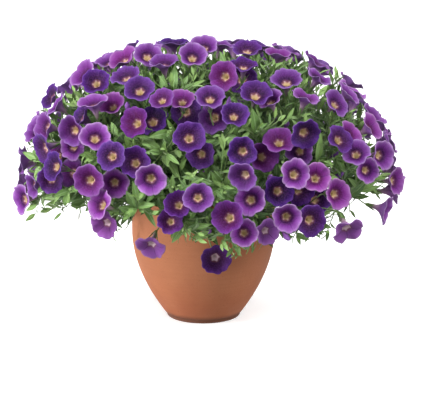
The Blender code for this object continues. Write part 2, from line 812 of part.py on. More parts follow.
def try_pedicel(bloom, shoot, place, route, thicket, may_touch):
    """Adds a flower with its pedicel to a shoot, if it clears what already stands there."""
    shape = bloom_shape(bloom, route)
    if not thicket.is_free(shoot["name"], shape):
        return False
    end = tube_end(bloom) if len(route) == 1 else route[-2]
    outer = bloom_shape(bloom, route[:-1] + [route[-1].lerp(end, PEDICEL_FREE)])
    if not may_touch and not clear_of(outer, shoot, bloom):
        return False
    thicket.add(shoot["name"], shape)
    shoot["pieces"].append(shape)
    shoot["outer"].append(BVHTree.FromPolygons(*outer))
    shoot["taken"].add(place)
    return True


def place_pedicel(bloom, shoots, thicket):
    """Joins a flower to its own shoot's stem, or else to the nearest stem that is free."""
    options = pedicel_roots(bloom, shoots)[:PEDICEL_TRIES]
    for may_touch in (False, True):
        for _, place, shoot, root in options:
            if try_pedicel(bloom, shoot, place, [root], thicket, may_touch):
                return True
    return False


def place_curved_pedicel(bloom, shoots, chance, thicket):
    """Leads a flower's pedicel round what stands in its way."""
    end = tube_end(bloom)
    for _, place, shoot, root in pedicel_roots(bloom, shoots)[:PEDICEL_TRIES]:
        for _ in range(DETOURS):
            aside = Vector([chance.gauss(0.0, DETOUR) for _ in range(3)])
            bend = root.lerp(end, chance.uniform(DETOUR_FROM, DETOUR_TO)) + aside
            upper, lower = (end - bend).normalized(), (bend - root).normalized()
            if min(upper.dot(bloom["facing"]), upper.dot(lower)) < SHARPEST_BEND:
                continue
            if try_pedicel(bloom, shoot, place, [bend, root], thicket, True):
                return True
    return False


def join_flowers(blooms, shoots, chance, thicket):
    """Gives each flower a pedicel; those that find no way go first in the next round."""
    order = list(blooms)
    kept = list(thicket.pieces)
    for _ in range(PEDICEL_ROUNDS):
        thicket.pieces = list(kept)
        for shoot in shoots:
            shoot.update(pieces=[], outer=[], taken=set())
        stuck = [k for k, bloom in enumerate(order) if not place_pedicel(bloom, shoots, thicket)]
        if not stuck:
            break
        hard = [order[k] for k in stuck]
        order = hard + [bloom for k, bloom in enumerate(order) if k not in stuck]
    hard = order[:len(stuck)]
    return [bloom for bloom in hard if not place_curved_pedicel(bloom, shoots, chance, thicket)]


def clear_of(shape, shoot, bloom=None):
    """True where a shape touches no flower and no other outer piece of its own shoot."""
    tree = BVHTree.FromPolygons(*shape)
    flowers = [other["corolla"] for other in shoot["blooms"] if other is not bloom]
    return not any(tree.overlap(other) for other in flowers + shoot["outer"])


def place_leaves(shoot, count, lowest, chance, thicket):
    """Leaves up a stem, turned round it, kept where they clear the flowers and other shoots."""
    placed = 0
    for k in range(count * LEAF_PLACES):
        share = lowest + (LEAVES_TO - lowest) * ((k * LEAF_STEP) % 1.0)
        root, along = along_stem(shoot["stem"], share)
        across, beside = cross_axes(along, LEAF_HINT + shoot["facing"])
        for attempt in range(LEAF_TRIES):
            spread = chance.uniform(-LEAF_TURN_SPREAD, LEAF_TURN_SPREAD)
            angle = k * LEAF_TURN + spread + attempt * LEAF_TURN_AGAIN
            outward = across * math.cos(angle) + beside * math.sin(angle)
            lean = along * chance.uniform(*LEAF_LEANS)
            way = (outward + lean + shoot["facing"] * LEAF_OUTWARD).normalized()
            length = LEAF_LENGTH * chance.uniform(*LEAF_LENGTHS) * (1.0 - LEAF_SHORTER * attempt)
            width = LEAF_WIDTH * chance.uniform(*LEAF_WIDTHS)
            droop = chance.uniform(*LEAF_DROOPS)
            upper = (along + shoot["facing"] * LEAF_UPPER).normalized()
            if dome_level(root + way * length) > LEAF_LIMIT:
                continue
            shape = leaf_shape(root, way, upper, length, width, droop)
            outer = leaf_shape(root + way * LEAF_FREE * length, way, upper,
                               (1.0 - LEAF_FREE) * length, width, droop)
            if thicket.is_free(shoot["name"], shape) and clear_of(outer, shoot):
                thicket.add(shoot["name"], shape)
                shoot["pieces"].append(shape)
                shoot["outer"].append(BVHTree.FromPolygons(*outer))
                placed += 1
                break
        if placed == count:
            return


def tube_object(name, points, collection):
    """A stem: a curve with a round section, made into a closed mesh."""
    curve = bpy.data.curves.new(name, "CURVE")
    curve.dimensions = "3D"
    curve.bevel_depth = 1.0
    curve.bevel_resolution = 0
    curve.use_fill_caps = True
    spline = curve.splines.new("POLY")
    spline.points.add(len(points) - 1)
    for vert, point, radius in zip(spline.points, points, stem_radii(points)):
        vert.co = (*point, 1.0)
        vert.radius = radius
    source = bpy.data.objects.new(name + "_curve", curve)
    collection.objects.link(source)
    graph = bpy.context.evaluated_depsgraph_get()
    mesh = bpy.data.meshes.new_from_object(source.evaluated_get(graph))
    bpy.data.objects.remove(source, do_unlink=True)
    return mesh_object(name, cleaned(mesh), collection)


def shells_of(shape):
    """The points of each separate shell, the smallest shell first."""
    shells = []
    rest = set(shape.verts)
    while rest:
        shell = set()
        front = [rest.pop()]
        while front:
            vert = front.pop()
            shell.add(vert)
            near = [edge.other_vert(vert) for edge in vert.link_edges]
            front += [other for other in near if other in rest]
            rest.difference_update(near)
        shells.append(shell)
    return sorted(shells, key=len)


def is_sound(mesh):
    """True for one closed body that stays so when points that all but touch are made one."""
    shape = bmesh.new()
    shape.from_mesh(mesh)
    bmesh.ops.triangulate(shape, faces=shape.faces)
    bmesh.ops.dissolve_degenerate(shape, edges=shape.edges, dist=CLOSE)
    bmesh.ops.remove_doubles(shape, verts=shape.verts, dist=CLOSE)
    sound = (all(item.is_manifold for item in list(shape.edges) + list(shape.verts))
             and len(shells_of(shape)) == 1)
    shape.free()
    return sound


def tidy_union(mesh):
    """Merges slivers, fills a hollow that a union sealed and drops a loose scrap."""
    shape = bmesh.new()
    shape.from_mesh(mesh)
    bmesh.ops.remove_doubles(shape, verts=shape.verts, dist=SLIVER)
    bmesh.ops.dissolve_degenerate(shape, edges=shape.edges, dist=SLIVER)
    small = [vert for shell in shells_of(shape)[:-1] for vert in shell]
    bmesh.ops.delete(shape, geom=small, context="VERTS")
    shape.to_mesh(mesh)
    shape.free()


def fuse(obj, shapes):
    """Joins shapes to an object in one union, and takes away what they were made from.

    The manifold solver comes first, since the exact one leaves slivers at long thin crossings.
    """
    pieces = new_collection(obj.name + "_pieces")
    for k, shape in enumerate(shapes):
        shape_object(f"{obj.name}_piece_{k + 1}", shape, pieces)
    stem = obj.data
    for attempt in range(FUSE_TRIES):
        for k, piece in enumerate(pieces.objects):
            piece.location = Vector((math.sin(k), math.cos(k), 0.5)) * FUSE_NUDGE * (attempt // 2)
        obj.data = stem
        union = obj.modifiers.new("Fuse", "BOOLEAN")
        union.operation = "UNION"
        union.operand_type = "COLLECTION"
        union.collection = pieces
        union.solver = "EXACT" if attempt % 2 else "MANIFOLD"
        apply_modifiers(obj)
        tidy_union(obj.data)
        if is_sound(obj.data):
            break
    else:
        raise RuntimeError(f"{obj.name} doesn't fuse into one sound body")
    for piece in list(pieces.objects):
        bpy.data.objects.remove(piece, do_unlink=True)
    bpy.data.collections.remove(pieces)


def new_shoot(name, middle, depth, members):
    facing = dome_normal(middle)
    return {"name": name, "target": middle - facing * depth, "facing": facing, "blooms": members,
            "pieces": [], "outer": [], "taken": set()}


def plan_shoots(chance, pot):
    """Every shoot with its stem and the shapes that are fused to it."""
    thicket = Thicket()
    blooms = seen_blooms(chance, thicket)
    fill_blooms(blooms, chance, thicket)
    for bloom in blooms:
        bloom["corolla"] = BVHTree.FromPolygons(*bloom_shape(bloom))
    flowering = []
    for k, group in enumerate(grouped([bloom["middle"] for bloom in blooms], FLOWERING_SHOOTS)):
        members = [blooms[b] for b in group]
        middle = sum((bloom["middle"] for bloom in members), Vector()) / len(members)
        shoot = new_shoot(f"flowering_shoot_{k + 1:02d}", middle, SHOOT_DEPTH, members)
        for bloom in members:
            bloom["shoot"] = shoot["name"]
        flowering.append(shoot)
    leafy = [new_shoot(f"leafy_shoot_{k + 1:02d}", target, LEAFY_DEPTH, [])
             for k, target in enumerate(leafy_targets(blooms, chance))]
    shoots = flowering + leafy

    thicket = Thicket()
    pot_faces = [tuple(face.vertices) for face in pot.data.polygons]
    thicket.add("pot", ([vert.co.copy() for vert in pot.data.vertices], pot_faces))
    for bloom in blooms:
        thicket.add(bloom["shoot"], bloom_with_stub(bloom))
    for shoot, base in zip(shoots, stem_bases([shoot["target"] for shoot in shoots])):
        place_stem(shoot, base, chance, thicket)
    del thicket.pieces[1:1 + len(blooms)]
    for bloom in blooms:
        thicket.add(bloom["shoot"], bloom_shape(bloom))
    if join_flowers(blooms, flowering, chance, thicket):
        raise RuntimeError("a flower has no way to a stem")
    for shoot in leafy:
        place_leaves(shoot, LEAVES_ON_LEAFY, LEAVES_FROM_LEAFY, chance, thicket)
    for shoot in flowering:
        place_leaves(shoot, LEAVES_ON_FLOWERING, LEAVES_FROM_FLOWERING, chance, thicket)
    return shoots


def make_shoots(shoots, parts):
    petals = plain_material("petals", VIOLET, 0.5)
    foliage = plain_material("foliage", LEAF_GREEN, 0.6)
    for shoot in shoots:
        obj = tube_object(shoot["name"], shoot["stem"], parts)
        fuse(obj, shoot["pieces"])
        obj.data.materials.clear()
        obj.data.materials.append(petals if shoot["name"].startswith("flowering") else foliage)


def build():
    clear_scene()
    parts = new_collection("calibrachoa")
    pot = make_pot(parts)
    apply_modifiers(pot)
    shoots = plan_shoots(random.Random(SEED), pot)
    make_soil(parts, [shoot["stem"][0] for shoot in shoots])
    make_shoots(shoots, parts)


build()
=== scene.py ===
"""Looks for the potted calibrachoa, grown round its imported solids. Metres, +Z up.

Each flower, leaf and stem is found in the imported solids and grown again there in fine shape.
Leaves on thin twigs fill the dome between them. The camera stands where the photograph's did.
"""
import json
import math
import random

import bmesh
import bpy
import numpy as np
from mathutils import Matrix, Vector
from mathutils.bvhtree import BVHTree
from mathutils.kdtree import KDTree

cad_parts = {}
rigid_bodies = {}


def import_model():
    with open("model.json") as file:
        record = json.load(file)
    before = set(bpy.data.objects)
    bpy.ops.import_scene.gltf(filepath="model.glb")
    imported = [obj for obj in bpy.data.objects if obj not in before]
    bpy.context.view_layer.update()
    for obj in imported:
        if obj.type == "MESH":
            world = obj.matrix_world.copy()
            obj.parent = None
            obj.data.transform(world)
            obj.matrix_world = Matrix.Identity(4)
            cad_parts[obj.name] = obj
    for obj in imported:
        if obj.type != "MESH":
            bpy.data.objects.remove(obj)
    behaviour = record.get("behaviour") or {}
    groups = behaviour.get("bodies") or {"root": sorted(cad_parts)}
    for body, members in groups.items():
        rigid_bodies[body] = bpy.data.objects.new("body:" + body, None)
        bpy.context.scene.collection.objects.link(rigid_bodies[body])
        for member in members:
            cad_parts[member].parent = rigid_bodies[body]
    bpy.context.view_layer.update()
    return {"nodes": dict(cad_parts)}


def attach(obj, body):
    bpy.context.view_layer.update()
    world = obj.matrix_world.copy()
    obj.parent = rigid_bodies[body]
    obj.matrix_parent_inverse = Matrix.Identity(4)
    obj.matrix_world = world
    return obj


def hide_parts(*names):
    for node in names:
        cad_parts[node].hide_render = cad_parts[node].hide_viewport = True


# Photograph and camera
PHOTO_WIDTH, PHOTO_HEIGHT = 440, 415
METRES_PER_PIXEL = 0.000839
VIEW_ELEVATION = math.radians(13.5)
VIEW_DISTANCE = 1.55
VIEW_AIM = Vector((0.014, 0.0, 0.0923))
SENSOR_WIDTH = 36.0

# Lights: place, width and watts
LIGHTS = {
    "key_light": ((-1.1, -0.9, 1.5), 0.9, 40.0),
    "side_light": ((-1.7, -0.6, 0.25), 0.5, 27.0),
    "fill_light": ((1.5, -0.8, 1.5), 1.1, 40.0),
    "front_light": ((-0.4, -1.9, 0.25), 0.8, 4.0),
    "back_light": ((0.2, 1.5, 1.3), 1.2, 9.0),
}
LIT_POINT = Vector((0.0, 0.0, 0.12))
WORLD_BELOW, WORLD_ABOVE = 0.36, 0.66
WORLD_BLEND = 0.3             # how far below and above the horizon the one turns into the other
FLOOR_SIZE = 12.0
FLOOR_GLOW = 0.47             # keeps the backdrop white and the shadow faint

# Pot and soil, as in the solids
POT_HEIGHT = 0.108
RIM_RADIUS = 0.060
BELLY_HEIGHT = 0.073
BOWL_RADIUS = 0.033
FOOT_HEIGHT = 0.004
FOOT_RADIUS = 0.031
FOOT_BEVEL = 0.0006
BOWL_POWER = 1.87
WALL = 0.0042
FLOOR = 0.006
RIM_ROUNDING = 0.0012
POT_SIDES = 144
DRAIN_HOLES = 4
DRAIN_RADIUS = 0.004
DRAIN_CIRCLE = 0.017
PAINTED_SHADE_HEIGHTS = (0.055, 0.012)   # painted shade: the clay darkens from the first height down to the second
LIME_HEIGHTS = (0.035, 0.0)       # lime shows below the first, most at the second
CONTACT_SHADOW_HEIGHTS = (0.009, 0.003)     # painted contact shadow: it starts below the first height and is darkest below the second
SOIL_TOP = 0.096
SOIL_CROWN = 0.002
SOIL_SIDES, SOIL_RINGS = 96, 34
CRUMBS, CRUMB_SIZES = 420, (0.0005, 0.0016)
CRUMB_CIRCLE = 0.053
CRUMB_FLATNESS = (0.6, 1.2)   # of its size that a crumb reaches, each way by itself
GAP = 0.0003

# Dome of flowers, as in the solids
DOME_CENTRE = Vector((0.004, 0.0, 0.098))
DOME_REACH_X = 0.160
DOME_REACH_Y = 0.146
DOME_RISE = 0.134
SKIRT_DROP = 0.030
DOME_POWER = 2.4

# Flowers, as in the solids
BLOOM_RADIUS = 0.0138
LOBES = 5
NOTCH_LIFT = 0.0010
THROAT_DEPTH = 0.0055
TUBE_LENGTH = 0.0185
TUBE_RADIUS = 0.0012
PEDICEL_RADIUS = 0.00055
STEM_RADIUS = 0.0015
STEM_TIP_RADIUS = 0.0009
LEAF_WIDEST = 0.42

# Reading the solids
SOLID_WELD = 0.000001
STEM_DISC = 0.050             # the stems stand in the soil within this radius
SPOKES = (0.009, 0.018)       # from a throat to the rim
TIP_SHARE = 0.96              # a spoke longer than this share of the longest ends at a lobe's tip
NOTCH_SHARE = 0.88            # and one between this share and that ends at a notch
FOUR_CORNERS = 0.7236         # a pentagon's middle, between its second and its first pair of corners
THROAT_BLUR = 0.0005          # points this close together are one throat, which a leaf may have cut
ROUND_ENOUGH = 1.03
LEAF_SPOKES = (0.007, 0.020)  # from a leaf's tip to its widest place
LARGEST_LOOP = 0.0032         # a wider ring of points isn't a pedicel's any more
TRACE_STEP = 0.001            # along a stem, felt across for its middle at each step
TRACE_WIDEST = 0.0024
TRACE_LONGEST = 0.32
FEELERS = 6

# Fine flowers: radius and height of the front and of the back, for a flower of size 1
FRONT = (
    (0.0001, -0.0155), (0.0009, -0.0150), (0.0012, -0.0115), (0.0016, -0.0090), (0.0022, -0.0074),
    (0.0029, -0.0064), (0.0038, -0.0055), (0.0050, -0.0046), (0.0066, -0.0036), (0.0084, -0.0026),
    (0.0101, -0.0017), (0.0117, -0.0009), (0.0130, -0.0004), (0.0137, -0.0003),
)
BACK = (
    (0.0138, -0.0006), (0.0128, -0.0009), (0.0108, -0.0019), (0.0084, -0.0033), (0.0062, -0.0048),
    (0.0045, -0.0065), (0.0032, -0.0086), (0.0023, -0.0111), (0.0017, -0.0145), (0.0013, -0.0186),
)
BLOOM_SIDES = 50
BLOOM_SHARE = 0.92            # of the solid flower's size, as its edge is thick and this one thin
LIMB_START = 0.0035           # from here out the lobes begin
SINUS = 0.115                 # how far the edge falls back between two lobes
LOBE_DENT = 0.050             # and in the middle of a lobe
RAGGED = 0.028                # how uneven one flower's edge is, as a share of its radius
RUFFLE = 0.00075              # and how far it waves up and down
CUP = (-0.0012, 0.0016)       # how far the whole edge hangs or stands up
CURL = (0.0, 0.0014)          # how far the lobes' ends bend back
CREASE_DEPTH = 0.00055        # of the crease along each lobe's midrib
PILLOW_SHARE = 0.6            # how high the petal swells on both sides of it, as a share of that
DENT_WIDTH = 0.45             # where a lobe's width is a whole turn, as for the next three
CREASE_WIDTH = 0.22
PILLOW_PLACE, PILLOW_WIDTH = 0.75, 0.3
EYE_SHARE = 0.210             # how far the throat's star reaches, as a share of the radius

# Which named flowers are deep, middling, light or reddish violet: middles in pixels
DEEP_BLOOMS = (
    (244, 63), (95, 81), (242, 79), (186, 112), (152, 119), (234, 114), (79, 116), (134, 122),
    (306, 134), (342, 138), (40, 149), (110, 155), (134, 162), (50, 180), (242, 152), (279, 191),
    (300, 190), (317, 199), (178, 204), (228, 217), (170, 221), (312, 221), (47, 95), (189, 137),
    (52, 166), (216, 260),
)
MIDDLING_BLOOMS = (
    (125, 74), (139, 88), (161, 98), (71, 131), (43, 127), (31, 186), (243, 177), (223, 76),
    (198, 197), (88, 181),
)
LIGHT_BLOOMS = (
    (148, 54), (193, 55), (204, 45), (121, 57), (269, 99), (95, 136), (316, 177), (150, 180),
    (71, 147), (114, 184), (20, 200), (338, 194), (250, 200), (98, 204), (287, 218), (244, 233),
    (268, 232), (349, 233), (150, 249), (383, 155), (111, 104), (296, 174),
)
RED_BLOOMS = (
    (278, 52), (223, 76), (111, 104), (182, 99), (134, 122), (351, 133), (338, 194),
    (373, 126), (55, 155), (264, 157), (104, 225), (121, 57), (316, 177), (279, 139), (88, 181),
)
PALE_EYED = ((216, 260), (150, 249), (349, 233), (104, 225), (268, 232))
NAMED_TONES = (               # and how light those are, from 0 to 1
    (DEEP_BLOOMS, (0.0, 0.12)), (LIGHT_BLOOMS, (0.85, 1.0)), (MIDDLING_BLOOMS, (0.25, 0.45)),
)
NAMED_RED = (0.7, 1.0)        # and how reddish the reddish ones are
DEEP_SHARE, LIGHT_SHARE = 0.22, 0.28   # of the flowers that aren't named
DEEP_TONE, USUAL_TONE, LIGHT_TONE = (0.0, 0.2), (0.3, 0.6), (0.75, 1.0)   # how light those are
USUAL_RED = (0.1, 0.25)       # how reddish they are: mean and spread
PALER_SIDE = 275.0            # past this pixel the photograph's flowers are paler
PALER_SHARE = 0.35            # and this many more of them are light ones
LOWER_PAINTED_LIGHT = 0.0025          # painted light: how much lighter a flower is made for each pixel that it sits lower
EVEN_ROW = 140.0              # than this row
SAME_BLOOM = 7.0              # pixels between a named flower and the one found

# Anthers, sepals, stems and hairs
ANTHER_DEPTH = 0.0062
ANTHER_CIRCLE = 0.0012
ANTHER_REACH = (0.0004, 0.0006, 0.0005)   # from its middle: outward, round and along the throat
STIGMA_REACH = (0.0005, 0.0005, 0.0004)
STIGMA_LEAD = 0.0003          # how far it stands out past the anthers
ANTHER_PLACE, STIGMA_PLACE = (0.16, 0.0, 0.0), (0.07, 0.0, 0.0)   # coloured as the throat is there
SEPAL_LENGTHS = (0.0070, 0.0092)
SEPAL_WIDTH = 0.0019
SEPAL_LEAN = (0.18, 0.42)     # outward for each step along the tube
SWELLING = (                  # under the sepals: height from the tube's foot, and radius
    (-0.0012, PEDICEL_RADIUS), (-0.0004, 0.0013), (0.0008, 0.0016), (0.0022, 0.0014),
)
SWELLING_SIDES = 8
HAIR_LENGTH = 0.0009
HAIR_WIDTH = 0.00005
STEM_SIDES, PEDICEL_SIDES, TWIG_SIDES = 10, 6, 4
NODE_STEP, NODE_SWELL = 7, 0.16   # a stem's points from one node to the next, and how much it swells
STEM_HAIRS = 60
PEDICEL_HAIRS = 18

# Buds
BUD_OUTLINE = (0.42, 0.45, 0.50, 0.62, 0.86, 1.0, 0.92, 0.55, 0.10)
BUD_RADIUS = 0.0023
BUD_SIDES = 10
BUD_LENGTHS = (0.010, 0.017)
BUD_SHARE = 0.42              # of the twigs of a flowering shoot

# Leaves and twigs
LEAF_ROWS = (0.0, 0.11, 0.27, 0.45, 0.66, 0.87, 1.0)
LEAF_OUTLINE = (0.12, 0.26, 0.78, 1.0, 0.84, 0.40, 0.03)
LEAF_COLUMNS = (-1.0, -0.5, 0.0, 0.5, 1.0)
INNER_COLUMNS = (-1.0, 0.0, 1.0)
BARE_SHARE = 0.45             # of each stem, from its foot up, bears no twigs
TWIGS = 1200
TWIG_DEPTHS = (0.003, 0.008, 0.014, 0.020, 0.028, 0.036)   # below the dome, tried in turn
INNER_TWIGS = 420
INNER_DEPTHS = (0.030, 0.044, 0.058)
TWIG_REACH = (0.008, 0.062)
TWIG_RADIUS = 0.0005
LEAF_SPACING = 0.0042
LEAF_LENGTHS = (0.011, 0.021)
INNER_LENGTHS = (0.016, 0.026)
LEAF_SLIMNESS = 0.31
SKIRT_SHARE = (0.1, 0.85)     # of the twigs below the dome's waist, at its ends and by the pot
UNDERSIDE = (                 # how low the leaves reach, in pixels
    (14, 204), (60, 210), (84, 206), (92, 232), (128, 228), (136, 210), (158, 214), (170, 236),
    (190, 242), (215, 240), (235, 264), (262, 248), (325, 236), (345, 206), (360, 188), (400, 194),
)
UNDERSIDE_SPREAD = 3.0        # pixels that single leaves hang lower or stop higher
HANGING_SPRAYS = ((36, 213), (62, 212), (80, 212), (113, 236), (326, 238), (350, 214), (374, 192))
SPRAY_NEARNESS = (0.03, 0.08)  # how far in front of the pot's axis they hang
FEWEST_LEAVES = 3             # that a twig carries
SOURCES_TRIED = 5             # places on stems that a twig may start from
LEAFY_FROM = 0.30             # from this share of its way on, a stem or a twig bears leaves
LEAF_TRIES, TRY_TURN = 4, 1.7  # a leaf that doesn't fit is turned on round its stem, and made smaller
OUTER_LIGHT, LEAF_SPREAD = 0.74, 0.18   # how light an outer leaf is, from 0 to 1, and how leaves vary
DEPTH_PAINTED_SHADE = 0.45           # painted shade: how much darker one deep inside is made
LEAF_TURNS = (0.0, 0.5, -0.5, 1.0, -1.0)   # tried in turn, to leave a flower in view
YOUNG_FROM = 0.55             # this share of the way up, leaves get shorter and younger
STEM_LEAF_SPACING = 0.0050
STEM_LEAF_LENGTHS = (0.015, 0.024)
LEAF_CLEARANCE, TWIG_CLEARANCE = 0.0018, 0.0012   # from the solids' corollas
BUD_CLEARANCE, END_CLEARANCE = 0.0035, 0.0045
HIDING_DEPTH, HIDING_SIGHT = 0.016, 0.045   # a flower this far behind a leaf counts as hidden
POT_ROOM = 0.003
FILLED_SPAN = 1.32            # of the dome's height, from its top down, is filled with twigs
GOLDEN_ANGLE = 2.39996
END_START, END_REACH = 0.085, 0.06   # the plant's looser ends, painted lighter, from the dome's middle
END_THINNING = 0.6            # of the twigs are left out there
END_PAINTED_LIGHT = 0.25           # painted light: how much lighter leaves and petals are made there
OUTERMOST = 1.05

SKIN = (0.0, 0.5, 1.0)        # painted on stems, which have no blade
UP = Vector((0.0, 0.0, 1.0))
SEED = 11

VIEW_FORWARD = Vector((0.0, math.cos(VIEW_ELEVATION), -math.sin(VIEW_ELEVATION)))
VIEW_UP = Vector((0.0, math.sin(VIEW_ELEVATION), math.cos(VIEW_ELEVATION)))
EYE_POINT = VIEW_AIM - VIEW_FORWARD * VIEW_DISTANCE


# Scene


def clear_scene():
    for old in list(bpy.data.objects):
        bpy.data.objects.remove(old, do_unlink=True)


def new_object(name, data):
    made = bpy.data.objects.new(name, data)
    bpy.context.scene.collection.objects.link(made)
    return made


def make_camera():
    data = bpy.data.cameras.new("photo_camera")
    data.sensor_fit = "HORIZONTAL"
    data.sensor_width = SENSOR_WIDTH
    data.lens = SENSOR_WIDTH * VIEW_DISTANCE / (PHOTO_WIDTH * METRES_PER_PIXEL)
    data.clip_start = 0.01
    camera = new_object("photo_camera", data)
    camera.location = EYE_POINT
    camera.rotation_euler = (math.pi / 2.0 - VIEW_ELEVATION, 0.0, 0.0)
    bpy.context.scene.camera = camera


def soft_light(name, place, size, power):
    data = bpy.data.lights.new(name, "AREA")
    data.shape = "DISK"
    data.size = size
    data.energy = power
    light = new_object(name, data)
    light.location = place
    light.rotation_euler = (LIT_POINT - Vector(place)).to_track_quat("-Z", "Y").to_euler()


def make_lights():
    for name, (place, size, power) in LIGHTS.items():
        soft_light(name, place, size, power)
    world = bpy.data.worlds.new("studio")
    world.use_nodes = True
    nodes, links = world.node_tree.nodes, world.node_tree.links
    nodes["Background"].inputs["Color"].default_value = (1.0, 1.0, 1.0, 1.0)
    height = nodes.new("ShaderNodeSeparateXYZ")
    links.new(nodes.new("ShaderNodeTexCoord").outputs["Generated"], height.inputs[0])
    strength = nodes.new("ShaderNodeMapRange")
    limits = (-WORLD_BLEND, WORLD_BLEND, WORLD_BELOW, WORLD_ABOVE)
    for socket, number in zip(list(strength.inputs)[1:], limits):
        socket.default_value = number
    links.new(height.outputs["Z"], strength.inputs[0])
    links.new(strength.outputs[0], nodes["Background"].inputs["Strength"])
    bpy.context.scene.world = world
    bpy.context.scene.view_settings.view_transform = "Standard"


def make_floor():
    bpy.ops.mesh.primitive_plane_add(size=FLOOR_SIZE)
    floor = bpy.context.object
    floor.name = "studio_floor"
    recipe = Recipe("pale_floor", roughness=0.9)
    recipe.colour(recipe.mix(recipe.noise(3.0, 2.0), (0.77, 0.77, 0.77), (0.79, 0.79, 0.79)))
    recipe.shader.inputs["Emission Color"].default_value = (1.0, 1.0, 1.0, 1.0)
    recipe.shader.inputs["Emission Strength"].default_value = FLOOR_GLOW
    floor.data.materials.append(recipe.material)
    floor.visible_diffuse = False


# Materials


class Recipe:
    """A material and short names for the nodes that make it."""

    def __init__(self, name, roughness, specular=0.5, sheen=0.0):
        self.material = bpy.data.materials.new(name)
        self.material.use_nodes = True
        self.tree = self.material.node_tree
        self.shader = self.tree.nodes["Principled BSDF"]
        self.shader.inputs["Roughness"].default_value = roughness
        self.shader.inputs["Specular IOR Level"].default_value = specular
        self.shader.inputs["Sheen Weight"].default_value = sheen

    def node(self, kind, **settings):
        made = self.tree.nodes.new(kind)
        for key, value in settings.items():
            setattr(made, key, value)
        return made

    def plug(self, socket, value):
        """Links an output to a socket, or sets the socket to a number or a colour."""
        if isinstance(value, bpy.types.NodeSocket):
            self.tree.links.new(value, socket)
        elif isinstance(value, (tuple, list)) and len(value) == 3 and socket.type == "RGBA":
            socket.default_value = (*value, 1.0)
        else:
            socket.default_value = value

    def math(self, operation, first, second=0.0):
        made = self.node("ShaderNodeMath", operation=operation)
        for socket, value in zip(made.inputs, (first, second)):
            self.plug(socket, value)
        return made.outputs[0]

    def times(self, first, second):
        return self.math("MULTIPLY", first, second)

    def plus(self, first, second):
        return self.math("ADD", first, second)

    def ribs(self, value):
        """A wave from 0 on each rib to 1 midway between two."""
        return self.math("ABSOLUTE", self.math("SINE", value))

    def mix(self, share, first, second, blend="MIX"):
        made = self.node("ShaderNodeMix", data_type="RGBA", blend_type=blend)
        self.plug(made.inputs["Factor"], share)
        colours = [socket for socket in made.inputs if socket.type == "RGBA"]
        for socket, value in zip(colours, (first, second)):
            self.plug(socket, value)
        return [socket for socket in made.outputs if socket.type == "RGBA"][0]

    def between(self, value, low, high, to_low=0.0, to_high=1.0):
        """A value's place between two limits, eased and kept within them."""
        made = self.node("ShaderNodeMapRange", interpolation_type="SMOOTHSTEP")
        for socket, number in zip(made.inputs, (value, low, high, to_low, to_high)):
            self.plug(socket, number)
        return made.outputs[0]

    def ramp(self, value, stops):
        made = self.node("ShaderNodeValToRGB")
        marks = made.color_ramp.elements
        while len(marks) < len(stops):
            marks.new(1.0)
        for mark, (place, colour) in zip(marks, stops):
            mark.position = place
            mark.color = (*colour, 1.0)
        self.plug(made.inputs[0], value)
        return made.outputs[0]

    def noise(self, scale, detail, stretch=None):
        made = self.node("ShaderNodeTexNoise")
        made.inputs["Scale"].default_value = scale
        made.inputs["Detail"].default_value = detail
        where = self.node("ShaderNodeTexCoord").outputs["Object"]
        if stretch is not None:
            mapping = self.node("ShaderNodeMapping")
            mapping.inputs["Scale"].default_value = stretch
            self.plug(mapping.inputs["Vector"], where)
            where = mapping.outputs[0]
        self.plug(made.inputs["Vector"], where)
        return made.outputs[0]

    def painted(self, name):
        """The three numbers that a piece's points carry under a name."""
        read = self.node("ShaderNodeAttribute", attribute_name=name)
        parts = self.node("ShaderNodeSeparateXYZ")
        self.plug(parts.inputs[0], read.outputs["Vector"])
        return parts.outputs

    def colour(self, value):
        self.plug(self.shader.inputs["Base Color"], value)

    def bump(self, height, depth):
        made = self.node("ShaderNodeBump")
        made.inputs["Distance"].default_value = depth
        self.plug(made.inputs["Height"], height)
        self.plug(self.shader.inputs["Normal"], made.outputs[0])


def limb_colour(r, radius, light, red, turned_down):
    """A petal's violet from the throat to the edge: deep or light, reddish, and paler lilac where a
    flower turns down, as painted light.
    """
    deep = r.ramp(radius, ((0.0, (0.012, 0.001, 0.02)), (0.50, (0.007, 0.0005, 0.014)),
                           (0.74, (0.019, 0.0025, 0.066)), (0.92, (0.038, 0.008, 0.125)),
                           (1.0, (0.090, 0.036, 0.212))))
    pale = r.ramp(radius, ((0.0, (0.03, 0.0005, 0.03)), (0.40, (0.026, 0.0008, 0.032)),
                           (0.62, (0.130, 0.021, 0.192)), (0.84, (0.205, 0.071, 0.282)),
                           (1.0, (0.345, 0.218, 0.415))))
    limb = r.mix(light, deep, pale)
    reddish = r.mix(0.75, limb, (0.62, 0.22, 0.50), "MULTIPLY")
    warm = r.mix(0.5, limb, (0.27, 0.015, 0.17))
    limb = r.mix(r.times(red, 0.6), limb, r.mix(0.35, warm, reddish))
    # painted light: a turned-down flower's limb is mixed towards lilac, the more the lighter it is
    return r.mix(r.times(turned_down, r.times(light, 0.5)), limb, (0.29, 0.11, 0.39))


def petal_veins(r, angle, cloud):
    """1 on the five midribs, and less on the fine veins between them."""
    midrib = r.between(r.ribs(r.times(angle, LOBES / 2.0)), 0.0, 0.16, 1.0, 0.0)
    fine = r.ribs(r.plus(r.times(angle, 22.5), r.times(cloud, 5.0)))
    return r.math("MAXIMUM", midrib, r.times(r.between(fine, 0.0, 0.35, 1.0, 0.0), 0.45))


